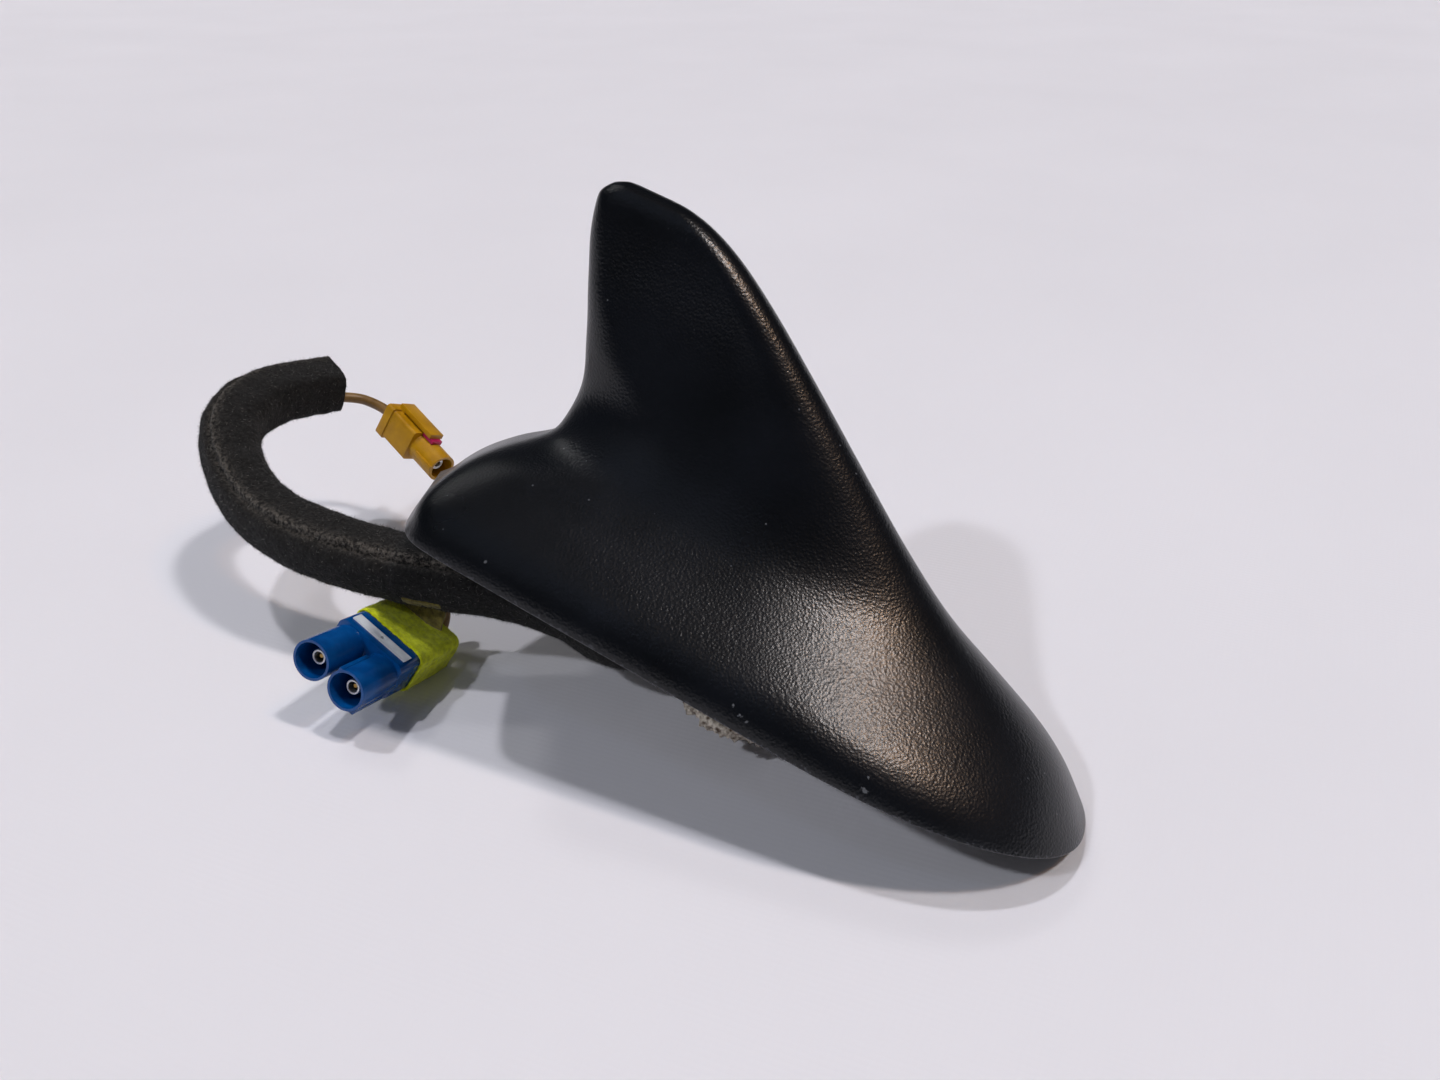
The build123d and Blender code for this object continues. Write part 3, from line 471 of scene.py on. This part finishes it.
# Plain finishes: name, two shades, size of the patches, range of roughness, then size and depth of the grain
MATERIALS = {
    "grained_plastic": grained_plastic(),
    # Moulded rubber: dark and dull, with a dusty bloom
    "seal_rubber": plain_finish("moulded_rubber", ("#121212", "#26241F"), 6.0, (0.75, 0.95), 0.5, 0.05),
    # Die-cast aluminium: pale grey, slightly rough skin
    "cast_alloy": plain_finish(
        "cast_aluminium", ("#9A9B9C", "#B4B5B6"), 8.0, (0.38, 0.55), 0.6, 0.05, Metallic=1.0
    ),
    # Turned brass: warm and bright
    "brass": plain_finish("turned_brass", ("#A08048", "#BC9C60"), 3.0, (0.22, 0.38), Metallic=1.0),
    # Zinc or tin plate on steel: bright pale grey
    "plated_steel": plain_finish("plated_steel", ("#C6C8CB", "#E4E5E6"), 2.0, (0.34, 0.48), Metallic=1.0),
    # Glass-fibre laminate under solder mask: deep green, half gloss
    "board_laminate": plain_finish("masked_laminate", ("#0E3A20", "#15482A"), 4.0, (0.3, 0.45), 0.5, 0.02),
    # Fired ceramic: buff and dull
    "patch_ceramic": plain_finish("fired_ceramic", ("#A79878", "#BBAD8E"), 3.0, (0.5, 0.7), 0.3, 0.02),
    # Tinned sheet steel: pale, with a soft shine
    "tin_can": plain_finish("tinned_sheet", ("#B4B5B2", "#CCCDC9"), 2.5, (0.25, 0.4), Metallic=1.0),
    # Moulded epoxy: black and matt
    "chip_resin": plain_finish("moulded_epoxy", ("#141414", "#1D1D1E"), 1.5, (0.55, 0.7), 0.2, 0.01),
    "foam": foam_fabric(),
    # Extruded lead jacket: tan, satin, a little soiled
    "lead_jacket": plain_finish("tan_jacket", ("#6E5229", "#8C6C3C"), 3.0, (0.35, 0.5), 0.5, 0.02),
    # Moulded nylon housings: clean saturated colours, with a soft gloss
    "yellow_plastic": plain_finish("yellow_nylon", ("#A87800", "#BC8A02"), 4.0, (0.36, 0.48), 0.3, 0.012),
    "magenta_plastic": plain_finish("magenta_nylon", ("#AE1050", "#C41C5E"), 3.0, (0.36, 0.48), 0.3, 0.012),
    "blue_plastic": plain_finish("blue_nylon", ("#003C78", "#024A8A"), 4.0, (0.16, 0.26), 0.3, 0.01),
    "white_plastic": plain_finish("white_nylon", ("#C9CED4", "#DADDE0"), 2.0, (0.35, 0.5), 0.3, 0.01),
    "green_tape": felt_tape("green_felt_tape", ("#B4BC06", "#E8F020")),
    "brown_tape": felt_tape("brown_felt_tape", ("#4A4220", "#82763C")),
}
# Dried sealant: chalky beige with brown patches
CRUST = plain_finish("dried_sealant", ("#4A3A2C", "#CFC6B8"), 1.0, (0.7, 0.95), 0.3, 0.08)
# Lint on the foam: loose pale threads that catch the light
LINT = plain_finish("pale_lint", ("#6A6864", "#A5A29C"), 1.0, (0.6, 0.8))


def placed(name, form):
    """Object of a mesh, curve, lamp or lens, linked into the scene."""
    made = bpy.data.objects.new(name, form)
    scene.collection.objects.link(made)
    return made


def show(name, form, slot, *nodes, material=None):
    """Piece that rides on the part, takes a slot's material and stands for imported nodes."""
    piece = placed(name, form)
    form.materials.clear()
    form.materials.append(material or MATERIALS[slot])
    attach(piece, "root")
    if nodes:
        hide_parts(*nodes)
    return piece


def law(column, share):
    """One column of SECTIONS at any share of the height, as a smooth curve with no overshoot."""
    shares = [row[0] for row in SECTIONS]
    values = [row[column] for row in SECTIONS]
    last = len(shares) - 1
    spans = [shares[k + 1] - shares[k] for k in range(last)]
    slopes = [(values[k + 1] - values[k]) / spans[k] for k in range(last)]

    def tangent(k):
        before = slopes[max(k - 1, 0)]
        after = slopes[min(k, last - 1)]
        if before * after <= 0:
            return 0.0
        return 2 * before * after / (before + after)

    k = max([i for i in range(last) if shares[i] <= share], default=0)
    t = (share - shares[k]) / spans[k]
    rise = t * t * (3 - 2 * t)
    leave = t * (1 - t) ** 2 * spans[k] * tangent(k)
    arrive = t * t * (t - 1) * spans[k] * tangent(k + 1)
    return values[k] + rise * (values[k + 1] - values[k]) + leave + arrive


def soft_law(column, share):
    """The law averaged over a short span of height, so that reflections run over the skin without kinks."""
    reach = LAW_BLUR * min(1.0, (1 - share) / LAW_BLUR_END)
    middle = len(BLUR_WEIGHTS) // 2
    total = 0.0
    for k, weight in enumerate(BLUR_WEIGHTS):
        total += weight * law(column, share + reach * (k - middle) / middle)
    return total / sum(BLUR_WEIGHTS)


def half_outline(share, inset):
    """Left half of a level section at a share of the height, nose to tail, with more points at its bends."""
    columns = [soft_law(column, share) for column in range(1, 10)]
    lead, trail, width, nose, nose_power, tail, shoulder, tail_power, rake = columns
    front = NOSE_REACH - lead * LENGTH - inset
    back = NOSE_REACH - trail * LENGTH + inset
    half = max(width * COVER_WIDTH / 2 - inset, 0.0)
    chord = front - back
    fine = [Vector((front, 0.0))]
    for k in range(1, FINE_TURNS):
        turn = math.pi * k / FINE_TURNS
        along = abs(math.cos(turn))
        across = math.sin(turn)
        if 2 * k <= FINE_TURNS:
            x = front - nose * chord * (1 - along ** (2 / max(nose_power, 2.0)))
            y = half * across ** (2 / nose_power)
        else:
            x = back + tail * chord * (1 - along ** (2 / shoulder))
            y = half * across ** (2 / tail_power)
            y *= (1 + (y / (rake * (x - back))) ** RAKE_BLEND) ** (-1 / RAKE_BLEND)
        fine.append(Vector((x, y)))
    fine.append(Vector((back, 0.0)))
    runs = [(after - before) for before, after in zip(fine, fine[1:])]
    total = sum(run.length for run in runs)
    reach = [0.0]
    for k, run in enumerate(runs):
        bend = runs[k - 1].angle(run, 0.0) if k else 0.0
        reach.append(reach[-1] + run.length / total + BEND_WEIGHT * bend / math.pi)
    points = [fine[0]]
    spot = 0
    for k in range(1, HALF_POINTS):
        goal = reach[-1] * k / HALF_POINTS
        while reach[spot + 1] < goal:
            spot += 1
        part = (goal - reach[spot]) / (reach[spot + 1] - reach[spot])
        points.append(fine[spot].lerp(fine[spot + 1], part))
    return points + [fine[-1]]


def level_ring(share, inset, height):
    """Whole level section in metres, closed round the left side and back along the right."""
    left = half_outline(share, inset)
    right = [Vector((x, -y)) for x, y in reversed(left[1:-1])]
    return [Vector((x, y, height)) * MM for x, y in left + right]


def strip_mesh(name, rings, cap_first=False, cap_last=False):
    """Smooth mesh over rings of equal count, with its faces turned outwards."""
    shape = bmesh.new()
    rows = [[shape.verts.new(point) for point in ring] for ring in rings]
    for low, high in zip(rows, rows[1:]):
        for k in range(len(low)):
            after = (k + 1) % len(low)
            shape.faces.new((low[k], low[after], high[after], high[k]))
    if cap_first:
        shape.faces.new(rows[0][::-1])
    if cap_last:
        shape.faces.new(rows[-1])
    bmesh.ops.remove_doubles(shape, verts=shape.verts, dist=MADE_WELD * MM)
    if shape.calc_volume(signed=True) < 0:
        bmesh.ops.reverse_faces(shape, faces=shape.faces)
    mesh = bpy.data.meshes.new(name)
    shape.to_mesh(mesh)
    shape.free()
    mesh.shade_smooth()
    return mesh


def cover_skin():
    """Moulded cover: down the inner wall from its roof, round the lower edge and up outside to the crest."""
    rings = []
    roof = (CAVITY_TOP + COVER_WALL) / COVER_HEIGHT
    foot = (EDGE_GAP + EDGE_ROUND + COVER_WALL) / COVER_HEIGHT
    for row in range(INNER_ROWS + 1):
        share = roof + (foot - roof) * row / INNER_ROWS
        rings.append(level_ring(share, CAVITY_INSET, share * COVER_HEIGHT - COVER_WALL))
    edge = EDGE_GAP / COVER_HEIGHT
    rings.append(level_ring(edge, CAVITY_INSET - EDGE_ROUND, EDGE_GAP))
    for turn in range(EDGE_ROWS + 1):
        angle = math.pi / 2 * turn / EDGE_ROWS
        inset = EDGE_ROUND * (1 - math.sin(angle))
        height = EDGE_GAP + EDGE_ROUND * (1 - math.cos(angle))
        rings.append(level_ring(height / COVER_HEIGHT, inset, height))
    start = (EDGE_GAP + EDGE_ROUND) / COVER_HEIGHT
    for row in range(1, OUTER_ROWS + 1):
        share = start + (1 - start) * (1 - (1 - row / OUTER_ROWS) ** ROW_CROWDING)
        rings.append(level_ring(share, 0.0, share * COVER_HEIGHT))
    return strip_mesh("cover_skin", rings, cap_first=True)


def smooth_curve(name, route, steps):
    """Smooth curve in metres that a route's points control."""
    curve = bpy.data.curves.new(name, "CURVE")
    curve.dimensions = "3D"
    spline = curve.splines.new("NURBS")
    spline.points.add(len(route) - 1)
    for point, place in zip(spline.points, route):
        point.co = (*[MM * value for value in place], 1.0)
    spline.order_u = 3
    spline.use_endpoint_u = True
    spline.resolution_u = steps
    return curve


def curve_points(route, steps):
    """Points along the smooth curve of a route."""
    curve = smooth_curve("route", route, steps)
    holder = bpy.data.objects.new("route", curve)
    mesh = bpy.data.meshes.new_from_object(holder)
    points = [vertex.co.copy() for vertex in mesh.vertices]
    bpy.data.objects.remove(holder)
    bpy.data.curves.remove(curve)
    bpy.data.meshes.remove(mesh)
    return points


def line_length(points):
    """Length along points."""
    return sum((after - before).length for before, after in zip(points, points[1:]))


def at_share(table, share):
    """Row of a table at a share of a length, in straight steps between its rows."""
    for low, high in zip(table, table[1:]):
        if share <= high[0]:
            part = (share - low[0]) / (high[0] - low[0])
            return [a + part * (b - a) for a, b in zip(low[1:], high[1:])]
    return list(table[-1][1:])


def foam_sleeve(points):
    """Needled foam folded round the leads: squashed section, fold line, rough face and square-cut end."""
    side = SLEEVE_SIDE
    last = len(points) - 1
    whole = line_length(points)
    done = 0.0
    rings = []
    folds = []
    for k, point in enumerate(points):
        if k:
            done += (point - points[k - 1]).length
        ahead = (points[min(k + 1, last)] - points[max(k - 1, 0)]).normalized()
        side = (side - ahead * side.dot(ahead)).normalized()
        rise = ahead.cross(side)
        wide, thick, square = at_share(SLEEVE_SIZES, done / whole)
        ring = []
        for turn in range(SLEEVE_TURNS):
            angle = 2 * math.pi * turn / SLEEVE_TURNS
            across = math.copysign(abs(math.cos(angle)) ** (2 / square), math.cos(angle))
            up = math.copysign(abs(math.sin(angle)) ** (2 / square), math.sin(angle))
            offset = (side * across * wide / 2 + rise * up * thick / 2) * MM
            outward = offset.normalized()
            spot = point + offset
            rough = FOAM_LUMP_DEPTH * noise.noise(spot / (FOAM_LUMP * MM))
            rough += FOAM_PILE_DEPTH * noise.noise(spot / (FOAM_PILE * MM))
            away = (angle - SEAM_TURN) / SEAM_WIDTH
            lip = LIP_HEIGHT * math.exp(-((away - LIP_OFFSET) / LIP_SPREAD) ** 2)
            fold = SEAM_DEPTH * math.exp(-away * away) - lip
            folds.append(math.exp(-((away - WISP_OFFSET) / WISP_SPREAD) ** 2))
            ring.append(spot + outward * MM * (rough - fold))
        rings.append(ring)
    mesh = strip_mesh("foam_sleeve_skin", rings, True, True)
    mesh.set_sharp_from_angle(angle=SLEEVE_SHARP)
    values = mesh.attributes.new("fold", "FLOAT", "POINT")
    for k, value in enumerate(folds):
        values.data[k].value = value
    return mesh


def fibre_tree():
    """Geometry tree that stands short fibres on a surface."""
    tree = bpy.data.node_groups.new("standing fibres", "GeometryNodeTree")
    sockets = (
        ("Surface", "NodeSocketGeometry"),
        ("Density", "NodeSocketFloat"),
        ("Length", "NodeSocketFloat"),
        ("Thickness", "NodeSocketFloat"),
        ("Lean", "NodeSocketFloat"),
        ("Seed", "NodeSocketInt"),
        ("Material", "NodeSocketMaterial"),
    )
    for name, kind in sockets:
        tree.interface.new_socket(name=name, in_out="INPUT", socket_type=kind)
    tree.interface.new_socket(name="Fibres", in_out="OUTPUT", socket_type="NodeSocketGeometry")
    given = add(tree, "NodeGroupInput").outputs
    spread = add(
        tree, "GeometryNodeDistributePointsOnFaces",
        {"Mesh": given["Surface"], "Density": given["Density"], "Seed": given["Seed"]},
    )
    low = add(tree, "ShaderNodeMath", {0: given["Lean"], 1: -1.0}, operation="MULTIPLY").outputs[0]
    lean = add(
        tree, "FunctionNodeRandomValue",
        {0: low, 1: given["Lean"], "Seed": given["Seed"]}, data_type="FLOAT_VECTOR",
    )
    turned = add(
        tree, "FunctionNodeRotateRotation",
        {"Rotation": spread.outputs["Rotation"], "Rotate By": lean.outputs[0]}, rotation_space="LOCAL",
    )
    size = add(
        tree, "FunctionNodeRandomValue",
        {2: FIBRE_SHORTEST, 3: 1.0, "Seed": given["Seed"]}, data_type="FLOAT",
    )
    fibre = add(
        tree, "GeometryNodeMeshCone",
        {
            "Vertices": FIBRE_SIDES,
            "Radius Bottom": given["Thickness"],
            "Radius Top": 0.0,
            "Depth": given["Length"],
        },
        fill_type="NONE",
    )
    stood = add(
        tree, "GeometryNodeInstanceOnPoints",
        {
            "Points": spread.outputs["Points"],
            "Instance": fibre.outputs["Mesh"],
            "Rotation": turned.outputs["Rotation"],
            "Scale": size.outputs[1],
        },
    )
    real = add(tree, "GeometryNodeRealizeInstances", {"Geometry": stood.outputs["Instances"]})
    dyed = add(
        tree, "GeometryNodeSetMaterial",
        {"Geometry": real.outputs["Geometry"], "Material": given["Material"]},
    )
    add(tree, "NodeGroupOutput", {"Fibres": dyed.outputs["Geometry"]})
    return tree


def worked_mesh(holder):
    """Plain mesh of an object with its modifiers done. The object itself is dropped."""
    bpy.context.view_layer.update()
    mesh = bpy.data.meshes.new_from_object(holder.evaluated_get(bpy.context.evaluated_depsgraph_get()))
    bpy.data.objects.remove(holder)
    return mesh


def fibres_on(piece, tree, name, slot, sizes, material=None):
    """Piece of short fibres over another piece's surface."""
    count, length, thickness, lean, seed = sizes
    material = material or MATERIALS[slot]
    values = {
        "Density": count * PER_SQUARE_CM,
        "Length": length * MM,
        "Thickness": thickness * MM,
        "Lean": lean,
        "Seed": seed,
        "Material": material,
    }
    holder = placed(name, piece.data)
    modifier = holder.modifiers.new("fibres", "NODES")
    modifier.node_group = tree
    for socket in tree.interface.items_tree:
        if socket.name in values:
            modifier[socket.identifier] = values[socket.name]
    return show(name, worked_mesh(holder), slot, material=material)


def welded_copy(node):
    """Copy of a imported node's mesh with its triangles joined into flat faces."""
    mesh = frame["nodes"][node].data.copy()
    shape = bmesh.new()
    shape.from_mesh(mesh)
    bmesh.ops.remove_doubles(shape, verts=shape.verts, dist=PACKED_WELD * MM)
    bmesh.ops.dissolve_limit(shape, angle_limit=PACKED_FLAT, verts=shape.verts, edges=shape.edges)
    shape.to_mesh(mesh)
    shape.free()
    return mesh


def softened(node, slot):
    """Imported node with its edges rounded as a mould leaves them."""
    holder = placed(node, welded_copy(node))
    bevel = holder.modifiers.new("rounded edges", "BEVEL")
    bevel.width = MOULDED_EDGES[node] * MM
    bevel.segments = MOULDED_STEPS
    bevel.limit_method = "ANGLE"
    bevel.angle_limit = MOULDED_FROM
    mesh = worked_mesh(holder)
    mesh.shade_smooth()
    mesh.set_sharp_from_angle(angle=SHARP_FROM)
    return show(node + "_soft", mesh, slot, node)


def felted(node, slot):
    """Packed tape node with soft edges and an uneven face."""
    holder = placed(node, welded_copy(node))
    remesh = holder.modifiers.new("even faces", "REMESH")
    remesh.mode = "VOXEL"
    remesh.voxel_size = TAPE_VOXEL * MM
    smooth = holder.modifiers.new("soft edges", "SMOOTH")
    smooth.iterations = TAPE_SMOOTHING
    mesh = worked_mesh(holder)
    normals = [vertex.normal.copy() for vertex in mesh.vertices]
    for vertex, normal in zip(mesh.vertices, normals):
        lump = noise.noise(vertex.co / (TAPE_LUMP * MM))
        lump += TAPE_FINE_DEPTH * noise.noise(vertex.co / (TAPE_FINE_SIZE * TAPE_LUMP * MM))
        vertex.co += normal * lump * TAPE_LUMP_DEPTH * MM
    mesh.shade_smooth()
    return show(node + "_felt", mesh, slot, node)


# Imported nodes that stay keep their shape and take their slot's material
for subpart in frame["record"]["subparts"]:
    node_mesh = frame["nodes"][subpart["node"]].data
    node_mesh.materials.clear()
    node_mesh.materials.append(MATERIALS[subpart["material_slot"]])

# Cover
show("cover_skin", cover_skin(), "grained_plastic", "fin_cover")

# Old sealant round the lower rim of the collar
crust_rings = []
for turn in range(CRUST_TURNS + 1):
    angle = 2 * math.pi * (turn % CRUST_TURNS) / CRUST_TURNS
    outward = Vector((math.cos(angle), math.sin(angle), 0.0))
    heart = outward * CRUST_RADIUS + Vector((0.0, 0.0, -COLLAR_DEPTH))
    ring = []
    for step in range(CRUST_ROUND):
        bend = 2 * math.pi * step / CRUST_ROUND
        way = outward * CRUST_SIZE * math.cos(bend) + Vector((0.0, 0.0, CRUST_HEIGHT * math.sin(bend)))
        size = CRUST_FILL + LUMP_SWELL * noise.noise((heart + way) / CRUST_LUMP)
        size += GRAIN_SWELL * noise.noise((heart + way) / CRUST_GRAIN)
        ring.append((heart + way * max(size, CRUST_LEAST)) * MM)
    crust_rings.append(ring)
show("collar_crust", strip_mesh("collar_crust", crust_rings), "seal_rubber", material=CRUST)

# Connectors: housings with moulded edges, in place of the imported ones
jack_pieces = [
    softened("jack_housing", "yellow_plastic"),
    softened("jack_lock", "magenta_plastic"),
    frame["nodes"]["jack_contact"],
]
plug_pieces = [
    softened("plug_housing", "blue_plastic"),
    softened("plug_lock", "white_plastic"),
    softened("plug_contacts", "plated_steel"),
    frame["nodes"]["plug_pins"],
    frame["nodes"]["plug_leads"],
]

# Fabric tape round the plug, and the strip that ties it to the sleeve
fibres = fibre_tree()
tape = felted("tape_wrap", "green_tape")
tie = felted("tie_tape", "brown_tape")
tape_pile = fibres_on(tape, fibres, "tape_pile", "green_tape", TAPE_FIBRES)

# Foam sleeve
sleeve_line = curve_points(SLEEVE_ROUTE, SLEEVE_STEPS)
sleeve = show("foam_sleeve_skin", foam_sleeve(sleeve_line), "foam", "foam_sleeve")
sleeve_pile = fibres_on(sleeve, fibres, "sleeve_pile", "foam", FOAM_FIBRES)
sleeve_lint = fibres_on(sleeve, fibres, "sleeve_lint", "foam", LINT_FIBRES, LINT)

# Tail lead from the sleeve's cut end to the jack
sleeve_end = Vector(SLEEVE_ROUTE[-1])
end_way = (sleeve_end - Vector(SLEEVE_ROUTE[-2])).normalized()
down_way = (Vector((0, 0, -1)) + end_way * end_way.z).normalized()
lead_exit = sleeve_end + down_way * TAIL_LEAD_DROP
tail_route = (
    lead_exit - end_way * TAIL_LEAD_HIDDEN,
    lead_exit + end_way * TAIL_LEAD_SHOWN,
    JACK_REAR - JACK_NOSE_WAY * TAIL_LEAD_SHOWN,
    JACK_REAR,
)
tail_curve = smooth_curve("tail_lead_line", tail_route, TAIL_LEAD_STEPS)
tail_curve.bevel_depth = LEAD_RADIUS * MM
tail_curve.bevel_resolution = TAIL_LEAD_ROUND
tail_lead = show("tail_lead_line", tail_curve, "lead_jacket", "tail_lead")
line_length(curve_points(tail_route, TAIL_LEAD_STEPS))


def table_material():
    """Coated cloth table top: pale and dull, with a faint weave and stains. It is clear from below."""
    material, tree, place = blank_material("coated_table")
    stain = add(tree, "ShaderNodeTexNoise", {"Vector": place, "Scale": 1 / (STAIN_SIZE * MM), "Detail": 3.0})
    share = add(tree, "ShaderNodeMapRange", {"Value": stain.outputs["Fac"], **DRIFT_SPAN})
    shade = add(
        tree, "ShaderNodeMix",
        {0: share.outputs["Result"], 6: linear("#E2E0E4"), 7: linear("#E5E3E7")}, data_type="RGBA",
    )
    threads = []
    for way in ("X", "Y"):
        wave = {"Vector": place, "Scale": 2 * math.pi / (WAVE_RATE * WEAVE_STEP * MM)}
        threads.append(add(tree, "ShaderNodeTexWave", wave, bands_direction=way).outputs["Fac"])
    weave = add(tree, "ShaderNodeMath", {0: threads[0], 1: threads[1]}, operation="ADD")
    bump = add(
        tree, "ShaderNodeBump", {"Height": weave.outputs[0], "Distance": WEAVE_DEPTH * MM, "Strength": 0.5}
    )
    inputs = {
        "Base Color": shade.outputs[2],
        "Roughness": 0.6,
        "Specular IOR Level": 0.2,
        "Normal": bump.outputs["Normal"],
    }
    shader = add(tree, "ShaderNodeBsdfPrincipled", inputs)
    clear = add(tree, "ShaderNodeBsdfTransparent")
    below = add(tree, "ShaderNodeNewGeometry").outputs["Backfacing"]
    surface = add(
        tree, "ShaderNodeMixShader", {0: below, 1: shader.outputs["BSDF"], 2: clear.outputs["BSDF"]}
    )
    add(tree, "ShaderNodeOutputMaterial", {"Surface": surface.outputs[0]})
    return material


def stage_piece(name, mesh, material):
    """Piece of the stage round the aerial."""
    piece = placed(name, mesh)
    mesh.materials.append(material)
    return piece


# Table, with the ways along its top: across the picture, and away from the camera
across = (CAMERA_RIGHT - TABLE_UP * CAMERA_RIGHT.dot(TABLE_UP)).normalized()
away = TABLE_UP.cross(across)
middle = -TABLE_UP * TABLE_DROP
half_side = TABLE_SIDE / 2
corners = [middle + (across * x + away * y) * half_side for x, y in ((-1, -1), (1, -1), (1, 1), (-1, 1))]
table_top = bpy.data.meshes.new("table")
table_top.from_pydata([corner * MM for corner in corners], [], [tuple(range(len(corners)))])
stage_piece("table", table_top, table_material())

# Dark canopy that only reflections see: it keeps the black skin deep, and leaves the low pale band open
canopy_black, canopy_tree, _ = blank_material("dark_canopy")
canopy_shade = add(canopy_tree, "ShaderNodeEmission", {"Color": linear(CANOPY_COLOUR), "Strength": 1.0})
add(canopy_tree, "ShaderNodeOutputMaterial", {"Surface": canopy_shade.outputs[0]})
canopy_rings = []
for row in range(CANOPY_ROWS + 1):
    lift = CANOPY_FOOT + (math.pi / 2 - CANOPY_FOOT) * row / CANOPY_ROWS
    ring = []
    for turn in range(CANOPY_TURNS):
        angle = 2 * math.pi * turn / CANOPY_TURNS
        level = (across * math.cos(angle) + away * math.sin(angle)) * math.cos(lift)
        ring.append((level + TABLE_UP * math.sin(lift)) * CANOPY_REACH * MM)
    canopy_rings.append(ring)
canopy = stage_piece("canopy", strip_mesh("canopy", canopy_rings), canopy_black)
canopy.visible_camera = False
canopy.visible_diffuse = False
canopy.visible_shadow = False

# Lamps, far off: each way has one that lights matt faces and one that only gloss shows
for name, way, share, glint, width, colour in LAMPS:
    way = Vector(way).normalized()
    for kind, strength in (("light", share), ("glint", glint)):
        lamp = bpy.data.lights.new(name + "_" + kind, "SUN")
        lamp.energy = strength * math.pi / way.dot(TABLE_UP)
        lamp.angle = math.radians(width)
        lamp.color = linear(colour)[:3]
        holder = placed(lamp.name, lamp)
        holder.rotation_euler = way.to_track_quat("Z", "Y").to_euler()
        holder.visible_glossy = kind == "glint"
        holder.visible_diffuse = kind == "light"

# Pale room: camera, gloss and glass see its full tone, and it lights the rest with a weaker fill
room = bpy.data.worlds.new("pale_room")
scene.world = room
room.use_nodes = True
tree = room.node_tree
tree.nodes.clear()
light_path = add(tree, "ShaderNodeLightPath").outputs
seen = light_path["Is Camera Ray"]
for ray in ("Is Glossy Ray", "Is Transmission Ray"):
    seen = add(tree, "ShaderNodeMath", {0: seen, 1: light_path[ray]}, operation="MAXIMUM").outputs[0]
fill = add(tree, "ShaderNodeBackground", {"Color": linear(FILL_COLOUR), "Strength": FILL_SHARE})
pale = add(tree, "ShaderNodeBackground", {"Color": linear(BACKDROP_COLOUR), "Strength": 1.0})
sky = add(tree, "ShaderNodeMixShader", {0: seen, 1: fill.outputs[0], 2: pale.outputs[0]})
add(tree, "ShaderNodeOutputWorld", {"Surface": sky.outputs[0]})

# Camera
lens = bpy.data.cameras.new("photo_camera")
lens.sensor_fit = "HORIZONTAL"
lens.sensor_width = SENSOR_WIDTH
lens.lens = FOCAL_LENGTH
lens.clip_start = CLIP_NEAR * MM
lens.clip_end = CLIP_FAR * MM
camera = placed("photo_camera", lens)
turned = Matrix((CAMERA_RIGHT, -CAMERA_DOWN, -CAMERA_FORWARD)).transposed()
camera.matrix_world = Matrix.Translation(Vector(CAMERA_SPOT) * MM) @ turned.to_4x4()
scene.camera = camera
